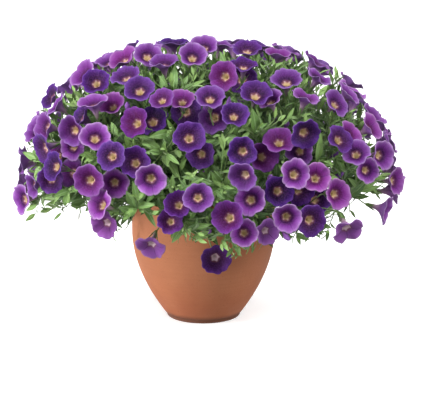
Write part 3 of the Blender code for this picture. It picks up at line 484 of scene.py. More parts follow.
def with_eye(r, limb, radius, lobe, cloud, turned_down):
    """The limb with the star in its throat, the star's pale tips and the warm ring round it."""
    eye = r.plus(EYE_SHARE, r.plus(r.times(lobe, 0.016), r.times(cloud, 0.05)))
    past_eye = r.math("SUBTRACT", radius, eye)
    tips = r.times(r.between(past_eye, 0.0, 0.05, 1.0, 0.0), r.between(lobe, 0.2, 0.9))
    front = r.mix(r.between(past_eye, 0.0, 0.14, 0.75, 0.0), limb, (0.20, 0.075, 0.085))
    front = r.mix(r.times(tips, 0.7), front, (0.52, 0.36, 0.50))
    throat = r.ramp(r.math("DIVIDE", radius, eye),
                    ((0.0, (0.56, 0.45, 0.18)), (0.35, (0.70, 0.55, 0.27)),
                     (0.7, (0.52, 0.38, 0.22)), (1.0, (0.38, 0.22, 0.17))))
    throat = r.mix(r.times(turned_down, 0.8), throat, (0.72, 0.56, 0.66))
    return r.mix(r.between(past_eye, -0.035, 0.022, 1.0, 0.0), front, throat)


def petal_material():
    """Violet limb with a paler edge, a near-black ring and a yellow-olive star in the throat."""
    r = Recipe("calibrachoa_petal", roughness=0.62, specular=0.12)
    x, y, back = r.painted("place")
    light, red, turned_down = r.painted("tone")
    radius = r.math("SQRT", r.plus(r.times(x, x), r.times(y, y)))
    angle = r.math("ARCTAN2", y, x)
    lobe = r.math("COSINE", r.times(angle, LOBES))
    grain = r.noise(900.0, 3.0)
    cloud = r.noise(160.0, 2.0)
    limb = limb_colour(r, radius, light, red, turned_down)
    veins = petal_veins(r, angle, cloud)
    limb = r.mix(r.times(veins, r.between(radius, 0.35, 1.0, 0.85, 0.25)), limb, (0.030, 0.004, 0.055))
    limb = r.mix(r.between(grain, 0.35, 0.75, 0.0, 0.16), limb, (0.26, 0.07, 0.40))
    front = with_eye(r, limb, radius, lobe, cloud, turned_down)
    outside = r.ramp(radius, ((0.08, (0.38, 0.34, 0.24)), (0.2, (0.36, 0.20, 0.36)),
                              (0.45, (0.27, 0.10, 0.38)), (0.8, (0.30, 0.13, 0.46)),
                              (1.0, (0.44, 0.26, 0.58))))
    outside = r.mix(r.times(veins, 0.55), outside, (0.09, 0.02, 0.13))
    outside = r.mix(r.times(r.math("SUBTRACT", 1.0, light), 0.6), outside, (0.48, 0.42, 0.70),
                    "MULTIPLY")
    r.colour(r.mix(back, front, outside))
    r.bump(r.plus(r.times(veins, -0.6), grain), 0.00018)
    return r.material


def green_material():
    """Leaves with a paler midrib and mottled blade, and downy stems."""
    r = Recipe("calibrachoa_green", roughness=0.50, specular=0.4, sheen=0.15)
    across, along, kind = r.painted("place")
    shade, young, _ = r.painted("tone")
    blade = r.ramp(shade, ((0.0, (0.018, 0.054, 0.012)), (0.35, (0.058, 0.138, 0.026)),
                           (0.7, (0.122, 0.232, 0.046)), (1.0, (0.20, 0.312, 0.088))))
    blade = r.mix(r.times(young, 0.5), blade, (0.20, 0.33, 0.05))
    patches = r.noise(420.0, 3.0)
    blade = r.mix(r.between(patches, 0.35, 0.75, 0.0, 0.35), blade, (0.14, 0.25, 0.10))
    middle = r.between(r.math("ABSOLUTE", across), 0.02, 0.17, 1.0, 0.0)
    rib = r.math("SUBTRACT", r.times(along, 34.0), r.times(r.math("ABSOLUTE", across), 7.0))
    side_ribs = r.between(r.ribs(rib), 0.0, 0.3, 1.0, 0.0)
    blade = r.mix(r.times(side_ribs, 0.28), blade, (0.22, 0.37, 0.13))
    blade = r.mix(r.times(middle, 0.65), blade, (0.27, 0.43, 0.16))
    edge = r.between(r.math("ABSOLUTE", across), 0.86, 1.0)
    blade = r.mix(r.times(edge, 0.25), blade, (0.25, 0.32, 0.12))
    skin = r.mix(r.between(r.noise(260.0, 2.0), 0.4, 0.7), (0.13, 0.25, 0.055), (0.20, 0.30, 0.10))
    skin = r.mix(r.times(young, 0.5), skin, (0.20, 0.13, 0.10))
    r.colour(r.mix(kind, blade, skin))
    r.bump(r.plus(r.times(middle, -1.0), r.times(side_ribs, -0.4)), 0.00012)
    return r.material


def clay_material():
    """Fired earthenware: warm and matte, with turning lines and specks, painted shade towards its lower
    part and a painted contact shadow at its foot.
    """
    r = Recipe("terracotta", roughness=0.75, specular=0.45)
    where = r.node("ShaderNodeTexCoord").outputs["Object"]
    parts = r.node("ShaderNodeSeparateXYZ")
    r.plug(parts.inputs[0], where)
    height = parts.outputs[2]
    cloud = r.noise(26.0, 4.0)
    base = r.ramp(cloud, ((0.25, (0.400, 0.136, 0.060)), (0.5, (0.460, 0.168, 0.076)),
                          (0.75, (0.520, 0.205, 0.098))))
    lines = r.noise(9.0, 3.0, stretch=(1.0, 1.0, 90.0))
    base = r.mix(r.between(lines, 0.35, 0.7, 0.0, 0.12), base, (0.37, 0.122, 0.052))
    specks = r.noise(900.0, 1.0)
    base = r.mix(r.between(specks, 0.68, 0.74, 0.0, 0.45), base, (0.24, 0.085, 0.045))
    base = r.mix(r.between(r.noise(900.0, 1.0, stretch=(1.3, 1.0, 1.1)), 0.70, 0.78, 0.0, 0.25),
                 base, (0.62, 0.36, 0.24))
    lime = r.times(r.between(r.noise(45.0, 5.0), 0.45, 0.75), r.between(height, *LIME_HEIGHTS))
    base = r.mix(r.times(lime, 0.08), base, (0.66, 0.45, 0.34))
    # painted shade: the lower part of the pot is darkened
    base = r.mix(r.between(height, *PAINTED_SHADE_HEIGHTS), base, (0.86, 0.73, 0.67), "MULTIPLY")
    # painted contact shadow: the foot turns near-black brown
    painted_contact_shadow = r.between(r.plus(height, r.times(cloud, 0.002)), *CONTACT_SHADOW_HEIGHTS)
    base = r.mix(r.times(painted_contact_shadow, 0.8), base, (0.075, 0.030, 0.018))
    r.colour(base)
    r.plug(r.shader.inputs["Roughness"], r.between(cloud, 0.2, 0.8, 0.74, 0.9))
    r.bump(r.plus(r.times(lines, 0.4), r.times(r.noise(600.0, 4.0), 0.5)), 0.0003)
    return r.material


def soil_material():
    """Dark, crumbly potting compost."""
    r = Recipe("potting_soil", roughness=0.95, specular=0.15)
    crumbs = r.noise(380.0, 5.0)
    base = r.ramp(crumbs, ((0.3, (0.012, 0.007, 0.004)), (0.55, (0.045, 0.026, 0.015)),
                           (0.8, (0.11, 0.068, 0.042))))
    r.colour(r.mix(r.between(r.noise(90.0, 2.0), 0.5, 0.7, 0.0, 0.5), base, (0.075, 0.045, 0.028)))
    r.bump(crumbs, 0.0012)
    return r.material


# Small geometry


def cross_axes(axis, hint=Vector((0.31, 0.92, 0.24))):
    """Two directions square to an axis and to each other."""
    across = (hint - axis * hint.dot(axis)).normalized()
    return across, axis.cross(across)


def round_about(across, beside, angle):
    """The way at an angle between two axes."""
    return across * math.cos(angle) + beside * math.sin(angle)


def evenly(low, high, count):
    return [low + (high - low) * k / max(count - 1, 1) for k in range(count)]


def dome_reaches(off):
    return DOME_REACH_X, DOME_REACH_Y, DOME_RISE if off.z > 0.0 else SKIRT_DROP


def dome_level(point):
    """Under 1 inside the dome of flowers, 1 on it, over 1 outside."""
    off = point - DOME_CENTRE
    return sum(abs(part / reach) ** DOME_POWER for part, reach in zip(off, dome_reaches(off)))


def onto_dome(point):
    off = point - DOME_CENTRE
    return DOME_CENTRE + off / dome_level(point) ** (1.0 / DOME_POWER)


def dome_normal(point):
    off = point - DOME_CENTRE
    return Vector([math.copysign(abs(part / reach) ** (DOME_POWER - 1.0) / reach, part)
                   for part, reach in zip(off, dome_reaches(off))]).normalized()


def pixel_of(point):
    """Where a point shows in the photograph."""
    off = point - EYE_POINT
    scale = VIEW_DISTANCE / off.dot(VIEW_FORWARD) / METRES_PER_PIXEL
    return PHOTO_WIDTH / 2.0 + off.x * scale, PHOTO_HEIGHT / 2.0 - off.dot(VIEW_UP) * scale


def point_seen(x, y, nearness):
    """The point that shows at a pixel, this much nearer to the camera than the aim."""
    away = VIEW_DISTANCE - nearness
    scale = METRES_PER_PIXEL * away / VIEW_DISTANCE
    return (EYE_POINT + VIEW_FORWARD * away + Vector(((x - PHOTO_WIDTH / 2.0) * scale, 0.0, 0.0))
            + VIEW_UP * ((PHOTO_HEIGHT / 2.0 - y) * scale))


def end_share(point):
    """0 in the plant's middle and 1 at its left and right ends."""
    return min(1.0, max(0.0, (abs(point.x - DOME_CENTRE.x) - END_START) / END_REACH))


class Growth:
    """Points, faces and painted values of one piece, gathered bit by bit."""

    def __init__(self):
        self.points, self.faces, self.place, self.tone = [], [], [], []
        self.count = 0

    def add(self, points, faces, place, tone):
        points = np.asarray(points, float).reshape(-1, 3)
        many = len(points)
        self.points.append(points)
        self.faces += (np.asarray(faces) + self.count).tolist()
        self.place.append(np.broadcast_to(np.asarray(place, float), (many, 3)))
        self.tone.append(np.broadcast_to(np.asarray(tone, float), (many, 3)))
        self.count += many

    def piece(self, name, material):
        mesh = bpy.data.meshes.new(name)
        mesh.from_pydata(np.concatenate(self.points).tolist(), [], self.faces)
        for key, rows in (("place", self.place), ("tone", self.tone)):
            painted = mesh.attributes.new(key, "FLOAT_VECTOR", "POINT")
            painted.data.foreach_set("vector", np.concatenate(rows).astype(np.float32).ravel())
        mesh.shade_smooth()
        mesh.materials.append(material)
        return new_object(name, mesh)


def sheet_faces(rows, columns, around=False):
    """Four-sided faces between rows of points, closed round where a row is a ring."""
    steps = columns if around else columns - 1
    return [(i * columns + k, i * columns + (k + 1) % columns,
             (i + 1) * columns + (k + 1) % columns, (i + 1) * columns + k)
            for i in range(rows - 1) for k in range(steps)]


def smooth_line(points, samples, first=None, last=None):
    """A soft curve through points, as Hermite pieces, with the ways at its ends if given."""
    points = [Vector(point) for point in points]
    ways = [(after - before) / 2.0 for before, after in zip(points, points[2:])]
    ways = [first or points[1] - points[0]] + ways + [last or points[-1] - points[-2]]
    line = []
    for k in range(len(points) - 1):
        for s in range(samples):
            t = s / samples
            line.append(points[k] * (2 * t ** 3 - 3 * t ** 2 + 1)
                        + ways[k] * (t ** 3 - 2 * t ** 2 + t)
                        + points[k + 1] * (3 * t ** 2 - 2 * t ** 3)
                        + ways[k + 1] * (t ** 3 - t ** 2))
    return line + [points[-1]]


def tube(line, radii, sides):
    """Points and faces of a tube along a line, with its rings carried on without a twist."""
    rings = []
    across = None
    for k, (point, radius) in enumerate(zip(line, radii)):
        way = (line[min(k + 1, len(line) - 1)] - line[max(k - 1, 0)]).normalized()
        across, beside = cross_axes(way, across) if across else cross_axes(way)
        rings += [point + round_about(across, beside, math.tau * s / sides) * radius
                  for s in range(sides)]
    return rings, sheet_faces(len(line), sides, around=True)


# Reading the solids


def welded(node):
    shape = bmesh.new()
    shape.from_mesh(node.data)
    bmesh.ops.remove_doubles(shape, verts=shape.verts, dist=SOLID_WELD)
    return shape


def throat_round(vert):
    """A point and those that a cut has left right beside it."""
    throat, fresh = {vert}, {vert}
    while fresh:
        linked = {edge.other_vert(point) for point in fresh for edge in point.link_edges}
        fresh = {point for point in linked - throat if (point.co - vert.co).length < THROAT_BLUR}
        throat |= fresh
    return throat


def ring_middle(ends):
    """The middle of five even corners, also where one of them is cut off."""
    if len(ends) == LOBES:
        return sum(ends, Vector()) / LOBES
    inner, beside, *outer = sorted(ends, key=lambda end: sum((end - other).length for other in ends))
    return ((inner + beside) / 2.0).lerp((outer[0] + outer[1]) / 2.0, FOUR_CORNERS)


def found_bloom(vert):
    """The flower whose throat a point is, or None."""
    throat = throat_round(vert)
    ends = {edge.other_vert(point) for point in throat for edge in point.link_edges} - throat
    spokes = [((end.co - vert.co).length, end) for end in sorted(ends, key=lambda end: end.index)]
    spokes = [spoke for spoke in spokes if SPOKES[0] < spoke[0] < SPOKES[1]]
    if len(spokes) < 2 * LOBES - 2:
        return None
    longest = max(length for length, _ in spokes)
    tips = [end.co for length, end in spokes if length > TIP_SHARE * longest]
    notches = [end.co for length, end in spokes
               if NOTCH_SHARE * longest < length <= TIP_SHARE * longest]
    ends = min(tips, notches, key=lambda group: abs(len(group) - LOBES))
    if len(ends) not in (LOBES, LOBES - 1):
        return None
    middle = ring_middle(ends)
    radii = [(end - middle).length for end in ends]
    if max(radii) > ROUND_ENOUGH * min(radii):
        return None
    facing = (middle - vert.co).normalized()
    if ends is notches:
        middle = middle - facing * NOTCH_LIFT
    across = cross_axes(facing, ends[0] - middle)[0]
    if ends is notches:
        across = Matrix.Rotation(math.pi / LOBES, 3, facing) @ across
    return {"middle": middle, "facing": facing, "across": across, "throat": throat,
            "rim": {end for _, end in spokes}, "size": (middle - vert.co).length / THROAT_DEPTH}


def pedicel_line(throat, ring):
    """Middles of the rings from behind a flower's rim down to its stem."""
    seen = throat | ring
    line = []
    while ring:
        ring = {edge.other_vert(vert) for vert in ring for edge in vert.link_edges} - seen
        if not ring:
            break
        corners = [vert.co for vert in sorted(ring, key=lambda vert: vert.index)]
        middle = sum(corners, Vector()) / len(corners)
        if max((corner - middle).length for corner in corners) > LARGEST_LOOP:
            break
        seen |= ring
        line.append(middle)
    return line


def found_leaf(vert):
    """The leaf whose tip a point is, or None."""
    spokes = [(edge.calc_length(), edge.other_vert(vert).co) for edge in vert.link_edges]
    lengths = [length for length, _ in spokes]
    if len(spokes) != 4 or min(lengths) < LEAF_SPOKES[0] or max(lengths) > LEAF_SPOKES[1]:
        return None
    ends = [end for _, end in spokes]
    left, right = max(((a, b) for a in ends for b in ends),
                      key=lambda pair: (pair[0] - pair[1]).length)
    above, below = [end for end in ends if end is not left and end is not right]
    centre = (above + below) / 2.0
    length = (vert.co - centre).length / (1.0 - LEAF_WIDEST)
    along = (vert.co - centre).normalized()
    return {"root": vert.co - along * length, "along": along, "up": (left + right) / 2.0 - centre,
            "length": length, "width": (left - right).length}


def traced_stem(shape, tree):
    """The middle line of a shoot's stem, felt from inside the solid, from its foot up."""
    foot = [vert for vert in shape.verts if vert.co.xy.length < STEM_DISC and vert.co.z < SOIL_TOP]
    point = sum((vert.co for vert in foot), Vector()) / len(foot) + UP * TRACE_STEP
    way = UP
    line = [point]
    while len(line) < TRACE_LONGEST / TRACE_STEP:
        if tree.ray_cast(point, way, 1.5 * TRACE_STEP)[0] is not None:
            break
        point = point + way * TRACE_STEP
        across, beside = cross_axes(way)
        shift, felt = Vector(), 0
        for k in range(FEELERS):
            side = round_about(across, beside, math.pi * k / FEELERS)
            right = tree.ray_cast(point, side, TRACE_WIDEST)[3]
            left = tree.ray_cast(point, -side, TRACE_WIDEST)[3]
            if right is not None and left is not None:
                shift += side * (right - left)
                felt += 1
        if felt < 2:
            break
        point = point + shift / felt
        way = (point - line[-1]).normalized()
        line.append(point)
    return line


def read_shoot(name, node):
    """Flowers, leaves and stem of a shoot, as its solid has them."""
    shape = welded(node)
    blooms, used = [], set()
    for vert in shape.verts:
        bloom = None if vert in used else found_bloom(vert)
        if bloom:
            blooms.append(bloom)
            used |= bloom["throat"] | bloom["rim"]
    leaves = [found_leaf(vert) for vert in shape.verts if vert not in used]
    for bloom in blooms:
        throat, rim = bloom.pop("throat"), bloom.pop("rim")
        bloom["line"] = pedicel_line(throat, rim)
        bloom["faces"] = [[corner.co.copy() for corner in face.verts] for face in shape.faces
                          if not (throat | rim).isdisjoint(face.verts)]
    stem = traced_stem(shape, BVHTree.FromBMesh(shape))
    shape.free()
    return {"name": name, "blooms": blooms, "leaves": list(filter(None, leaves)), "stem": stem}


def corolla_tree(shoots):
    """All corollas of the solids, to keep leaves out of them."""
    points, faces = [], []
    for corners in (corners for shoot in shoots for bloom in shoot["blooms"]
                    for corners in bloom["faces"]):
        faces.append(list(range(len(points), len(points) + len(corners))))
        points += corners
    return BVHTree.FromPolygons(points, faces)


# Growing again


def bloom_tone(bloom, chance):
    """How light, how reddish and how turned down a flower is, as photographed or by rule."""
    x, y = pixel_of(bloom["middle"])

    def listed(places):
        return any(math.dist((x, y), place) < SAME_BLOOM for place in places)

    kind = chance.random() + PALER_SHARE * (x > PALER_SIDE)
    light = chance.uniform(*USUAL_TONE)
    named = [tones for places, tones in NAMED_TONES if listed(places)]
    if named:
        light = chance.uniform(*named[0])
    elif kind < DEEP_SHARE:
        light = chance.uniform(*DEEP_TONE)
    elif kind > 1.0 - LIGHT_SHARE:
        light = chance.uniform(*LIGHT_TONE)
    red = chance.uniform(*NAMED_RED) if listed(RED_BLOOMS) else max(0.0, chance.gauss(*USUAL_RED))
    # painted light: flowers that aren't deep ones are made lighter at the plant's ends and the lower
    # they sit
    if not listed(DEEP_BLOOMS):
        light += END_PAINTED_LIGHT * end_share(bloom["middle"]) + LOWER_PAINTED_LIGHT * (y - EVEN_ROW)
        light = min(1.0, max(0.0, light))
    turned_down = 1.0 if listed(PALE_EYED) else min(1.0, max(0.0, -4.0 * bloom["facing"].z - 0.5))
    return light, min(red, 1.0), turned_down


def uneven(angles, size, chance):
    """Waves round a ring, the same each time for the same chance."""
    total = np.zeros(len(angles))
    for turns in (1, 2, 3, 5, 8, 13):
        height = chance.gauss(0.0, size / turns ** 0.5)
        total += height * np.sin(angles * turns + chance.uniform(0.0, math.tau))
    return total


def bulge(place, middle, width):
    """1 at the middle and less to both sides."""
    return np.exp(-((place - middle) / width) ** 2)


def corolla(growth, bloom, tone, chance):
    """One thin five-lobed funnel, from inside the tube over the rim and back down outside."""
    axis, across = bloom["facing"], bloom["across"]
    beside = axis.cross(across)
    angles = np.arange(BLOOM_SIDES) * math.tau / BLOOM_SIDES
    phase = (angles * LOBES + math.pi) % math.tau - math.pi
    between = (1.0 - np.cos(phase)) / 2.0
    edge = 1.0 - SINUS * between ** 3 - LOBE_DENT * bulge(phase, 0.0, DENT_WIDTH)
    waves = uneven(angles, RUFFLE, chance)
    edge = edge + uneven(angles, RAGGED, chance)
    cup = chance.uniform(*CUP)
    curl = chance.uniform(*CURL)

    profile = np.array(FRONT + BACK)
    front = np.arange(len(profile))[:, None] < len(FRONT)
    radius, height = profile[:, :1], profile[:, 1:]
    share = np.clip((radius - LIMB_START) / (BLOOM_RADIUS - LIMB_START), 0.0, 1.0)
    share = share * share * (3.0 - 2.0 * share)
    spread = radius * (1.0 + (edge - 1.0) * share)
    rise = height + NOTCH_LIFT * between * share + cup * share ** 2 + waves * share ** 2
    rise = rise - curl * share ** 4 * (1.0 - between)
    crease = (bulge(phase, 0.0, CREASE_WIDTH)
              - PILLOW_SHARE * bulge(np.abs(phase), PILLOW_PLACE, PILLOW_WIDTH))
    rise = rise - CREASE_DEPTH * crease * share * (1.0 - 0.5 * share)

    offsets = (spread[..., None] * (np.cos(angles)[None, :, None] * np.array(across)
                                    + np.sin(angles)[None, :, None] * np.array(beside))
               + rise[..., None] * np.array(axis))
    points = np.array(bloom["middle"]) + offsets * bloom["size"] * BLOOM_SHARE
    shown = radius / BLOOM_RADIUS
    place = np.stack([shown * np.cos(angles), shown * np.sin(angles),
                      np.where(front, 0.0, 1.0) + 0.0 * angles], axis=-1)
    faces = [face[::-1] for face in sheet_faces(len(profile), BLOOM_SIDES, around=True)]
    growth.add(points, faces, place.reshape(-1, 3), tone)


BEAD = ((1, 0, 0), (0, 1, 0), (-1, 0, 0), (0, -1, 0), (0, 0, 1), (0, 0, -1))
BEAD_FACES = ((0, 1, 4), (1, 2, 4), (2, 3, 4), (3, 0, 4), (1, 0, 5), (2, 1, 5), (3, 2, 5), (0, 3, 5))


def bead(growth, middle, ways, reaches, place, tone):
    """An eight-sided bead that reaches this far from its middle along three ways."""
    axes = [way * reach for way, reach in zip(ways, reaches)]
    points = [middle + axes[0] * x + axes[1] * y + axes[2] * z for x, y, z in BEAD]
    growth.add(points, BEAD_FACES, place, tone)


def anthers(growth, bloom, tone):
    """Five anthers round the stigma, in the mouth of the throat."""
    axis, across = bloom["facing"], bloom["across"]
    beside = axis.cross(across)
    mouth = bloom["middle"] - axis * ANTHER_DEPTH * bloom["size"]
    for k in range(LOBES):
        out = round_about(across, beside, math.tau * (k + 0.5) / LOBES)
        bead(growth, mouth + out * ANTHER_CIRCLE, (out, axis.cross(out), axis), ANTHER_REACH,
             ANTHER_PLACE, tone)
    bead(growth, mouth + axis * STIGMA_LEAD, (across, beside, axis), STIGMA_REACH, STIGMA_PLACE, tone)


def blade(growth, leaf, tone, droop, fold=0.30, wave=0.0, columns=LEAF_COLUMNS):
    """A lance-shaped leaf, folded along its midrib and arched over."""
    along = leaf["along"].normalized()
    side = leaf["up"].cross(along).normalized()
    top = along.cross(side)
    far = np.array(LEAF_ROWS)[:, None]
    aside = np.array(columns)[None, :]
    half = np.array(LEAF_OUTLINE)[:, None] * leaf["width"] / 2.0
    forward = far * leaf["length"] + 0.0 * aside
    lift = (half * np.abs(aside) * (fold + wave * np.sin(far * 9.0 + leaf["length"] * 4000.0))
            - droop * far ** 2 * leaf["length"])
    points = (np.array(leaf["root"]) + forward[..., None] * np.array(along)
              + (half * aside)[..., None] * np.array(side) + lift[..., None] * np.array(top))
    place = np.stack([aside + 0.0 * far, far + 0.0 * aside, 0.0 * far * aside], axis=-1)
    growth.add(points, sheet_faces(len(LEAF_ROWS), len(columns)), place.reshape(-1, 3), tone)


def calyx(growth, bloom, chance):
    """Five narrow sepals that clasp the tube, and the swelling that they grow from."""
    axis, across = bloom["facing"], bloom["across"]
    beside = axis.cross(across)
    foot = bloom["middle"] - axis * TUBE_LENGTH * bloom["size"]
    for k in range(LOBES):
        out = round_about(across, beside, math.tau * (k + 0.5) / LOBES + chance.uniform(-0.2, 0.2))
        along = (axis + out * chance.uniform(*SEPAL_LEAN)).normalized()
        sepal = {"root": foot + out * TUBE_RADIUS * 1.15, "along": along, "up": -out,
                 "length": chance.uniform(*SEPAL_LENGTHS), "width": SEPAL_WIDTH}
        blade(growth, sepal, (chance.uniform(0.45, 0.8), 0.2, 0.0), droop=0.1, fold=0.35)
    points, faces = tube([foot + axis * rise for rise, _ in SWELLING],
                         [radius for _, radius in SWELLING], SWELLING_SIDES)
    growth.add(points, faces, SKIN, (0.5, 0.1, 0.0))


def bud(flowers, greens, foot, way, length, tone, chance):
    """A flower still rolled up, in its calyx."""
    bent = way + UP * chance.uniform(-0.2, 0.5)
    line = smooth_line([foot, foot + way * length], len(BUD_OUTLINE) - 1, first=way * length,
                       last=bent * length)
    points, faces = tube(line, [radius * BUD_RADIUS for radius in BUD_OUTLINE], BUD_SIDES)
    shares = np.repeat(evenly(0.15, 0.92, len(line)), BUD_SIDES)
    turns = np.tile(np.arange(BUD_SIDES) * math.tau / BUD_SIDES, len(line)) + shares * 2.0
    place = np.stack([shares * np.cos(turns), shares * np.sin(turns), np.ones(len(shares))], axis=-1)
    flowers.add(points, faces, place, tone)
    calyx(greens, {"middle": foot + way * TUBE_LENGTH, "facing": way, "across": cross_axes(way)[0],
                   "size": 1.0}, chance)


def hairs(growth, line, radius, count, chance):
    """Short sticky hairs standing off a stem."""
    for _ in range(count):
        at = chance.randrange(len(line) - 1)
        way = (line[at + 1] - line[at]).normalized()
        foot = line[at].lerp(line[at + 1], chance.random())
        out = round_about(*cross_axes(way), chance.uniform(0.0, math.tau))
        side = way.cross(out) * HAIR_WIDTH
        lean = out + way * chance.uniform(-0.3, 0.5)
        tip = foot + lean * (radius + HAIR_LENGTH * chance.uniform(0.6, 1.2))
        foot = foot + out * radius * 0.7
        growth.add([foot - side, foot + side, foot + way * HAIR_WIDTH * 2.0, tip],
                   ((0, 1, 3), (1, 2, 3), (2, 0, 3)), SKIN, (0.9, 0.0, 0.0))


def stem(growth, shoot, chance):
    """The stem, round and smoothly bent, with a node where leaves stand."""
    line = smooth_line(shoot["stem"][::5] + [shoot["stem"][-1]], 2)
    nodes = [1.0 + NODE_SWELL * math.exp(-(k % NODE_STEP - NODE_STEP // 2) ** 2 / 0.8)
             for k in range(len(line))]
    radii = [radius * node for radius, node in
             zip(evenly(STEM_RADIUS, STEM_TIP_RADIUS * 0.8, len(line)), nodes)]
    points, faces = tube(line, radii, STEM_SIDES)
    growth.add(points, faces, SKIN, (0.5, 0.25, 0.0))
    hairs(growth, line[len(line) // 3:], STEM_TIP_RADIUS, STEM_HAIRS, chance)


def pedicel(growth, shoot, bloom, chance):
    """A flower's stalk, from the nearest place on the stem to the end of the flower's tube."""
    middle, facing = bloom["middle"], bloom["facing"]
    end = middle - facing * TUBE_LENGTH * bloom["size"]
    inner = [point for point in bloom["line"]
             if (point - middle).dot(facing) < -1.15 * TUBE_LENGTH * bloom["size"]]
    start = inner[-1] if inner else end
    root = min(shoot["stem"], key=lambda point: (point - start).length)
    way = [root] + list(reversed(inner[:-1])) + [end]
    curve = smooth_line(way, 4, last=facing * 0.7 * (way[-1] - way[-2]).length)
    radii = evenly(PEDICEL_RADIUS * 0.85, PEDICEL_RADIUS, len(curve))
    points, faces = tube(curve, radii, PEDICEL_SIDES)
    growth.add(points, faces, SKIN, (0.5, chance.uniform(0.1, 0.6), 0.0))
    hairs(growth, curve, PEDICEL_RADIUS, PEDICEL_HAIRS, chance)


class Filler:
    """Grows twigs, leaves and buds where the flowers leave room."""

    def __init__(self, shoots, greens, flowers, chance):
        self.greens, self.flowers = greens, flowers
        self.chance = chance
        self.loose = False
        self.corollas = corolla_tree(shoots)
        self.sources = []
        for shoot in shoots:
            line = shoot["stem"]
            for k in range(int(BARE_SHARE * len(line)), len(line) - 1, 4):
                self.sources.append((shoot, line[k], (line[k + 1] - line[k - 1]).normalized()))
        self.tree = KDTree(len(self.sources))
        for k, (_, point, _) in enumerate(self.sources):
            self.tree.insert(point, k)
        self.tree.balance()

    def is_near_flower(self, point, room):
        return self.corollas.find_nearest(point, room)[0] is not None

    def hides_flower(self, point):
        """True where a corolla lies just behind a point, seen from outside or from the front."""
        return any(self.corollas.ray_cast(point, way, far)[1] is not None
                   for way, far in ((-dome_normal(point), HIDING_DEPTH), (VIEW_FORWARD, HIDING_SIGHT)))

    def turn_aside(self, leaf):
        """Turns a leaf of the solids where it would cover a flower, as little as it can."""
        first = leaf["along"].copy()
        for turn in LEAF_TURNS:
            leaf["along"] = Matrix.Rotation(turn, 3, leaf["up"]) @ first
            if not self.hides_flower(leaf["root"] + leaf["along"] * leaf["length"] * 0.6):
                return
        leaf["along"] = first

    def hangs(self, point):
        """True below the plant's underside, where the photograph shows hardly a leaf."""
        if self.loose:
            return False
        x, y = pixel_of(Vector((point.x, -abs(point.y), point.z)))
        return y > np.interp(x, *zip(*UNDERSIDE)) + self.chance.gauss(0.0, UNDERSIDE_SPREAD)

    def fits(self, leaf):
        along, length = leaf["along"], leaf["length"]
        side = leaf["up"].cross(along).normalized() * leaf["width"] * 0.5
        middle = leaf["root"] + along * length * 0.45
        tip = leaf["root"] + along * length * 0.96
        if dome_level(tip) > OUTERMOST or self.in_pot(tip) or self.in_pot(middle) or self.hangs(tip):
            return False
        spots = (leaf["root"] + along * length * 0.2, middle + side, middle - side,
                 leaf["root"] + along * length * 0.72, tip)
        if any(self.is_near_flower(spot, LEAF_CLEARANCE) for spot in spots):
            return False
        return not (self.hides_flower(tip) or self.hides_flower(middle))

    @staticmethod
    def in_pot(point):
        return point.xy.length < RIM_RADIUS + POT_ROOM and point.z < POT_HEIGHT + 0.002

    def leaf_on(self, point, way, turn, length, lean):
        """A leaf at a place on a line, turned round it."""
        outward = dome_normal(point)
        out = round_about(*cross_axes(way, Vector((0.1, 0.2, 0.97)) + outward * 0.3), turn)
        along = (out + way * lean + outward * 0.35).normalized()
        upper = (way + outward * 0.8 + UP * 0.35).normalized()
        return {"root": point, "along": along, "up": upper, "length": length,
                "width": length * LEAF_SLIMNESS * self.chance.uniform(0.8, 1.2)}

    def tone(self, leaf, young):
        """How light and how young a leaf is: painted shade darkens it inside the dome, painted light
        makes it paler at its ends.
        """
        depth = min(1.0, max(0.0, 1.08 - dome_level(leaf["root"])) * 1.2)
        # painted shade deep inside the dome, painted light at its ends
        usual = OUTER_LIGHT - DEPTH_PAINTED_SHADE * depth + END_PAINTED_LIGHT * end_share(leaf["root"])
        return (max(0.0, min(1.0, self.chance.gauss(usual, LEAF_SPREAD))), young, 0.0)

    def leaves_along(self, line, spacing, lengths):
        """Leaves up a line, the shortest and youngest at its end."""
        leaves = []
        whole = sum((b - a).length for a, b in zip(line, line[1:]))
        count = max(2, int(whole * (1.0 - LEAFY_FROM) / spacing))
        turn = self.chance.uniform(0.0, math.tau)
        for k, share in enumerate(evenly(LEAFY_FROM, 1.0, count)):
            place = share * (len(line) - 1)
            at = min(int(place), len(line) - 2)
            point = line[at].lerp(line[at + 1], place - at)
            way = (line[at + 1] - line[at]).normalized()
            youth = max(0.0, share - YOUNG_FROM) / (1.0 - YOUNG_FROM)
            for attempt in range(LEAF_TRIES):
                angle = turn + k * GOLDEN_ANGLE + attempt * TRY_TURN
                length = self.chance.uniform(*lengths) * (1.0 - 0.45 * youth) * (1.0 - 0.08 * attempt)
                leaf = self.leaf_on(point, way, angle, length, 0.35 + 1.1 * youth)
                if self.fits(leaf):
                    leaves.append((leaf, self.tone(leaf, 0.8 * youth)))
                    break
        return leaves

    def add_leaves(self, growth, leaves, columns=LEAF_COLUMNS):
        for leaf, tone in leaves:
            blade(growth, leaf, tone, droop=self.chance.uniform(0.02, 0.2),
                  fold=self.chance.uniform(0.15, 0.45), wave=0.12, columns=columns)

    def add_bud(self, name, line):
        """A bud at the end of a twig, where nothing is in its way."""
        way = (line[-1] - line[-2]).normalized()
        length = self.chance.uniform(*BUD_LENGTHS)
        foot = line[-1] - way * 0.001
        spots = [foot + way * length * share for share in (0.3, 0.65, 1.05)]
        if any(self.is_near_flower(spot, BUD_CLEARANCE) or self.hangs(spot) for spot in spots):
            return
        if self.hides_flower(spots[2]) or dome_level(spots[2]) > OUTERMOST:
            return
        tone = (self.chance.uniform(0.1, 0.9), self.chance.uniform(0.0, 0.6), 0.0)
        bud(self.flowers[name], self.greens[name], foot, way, length, tone, self.chance)

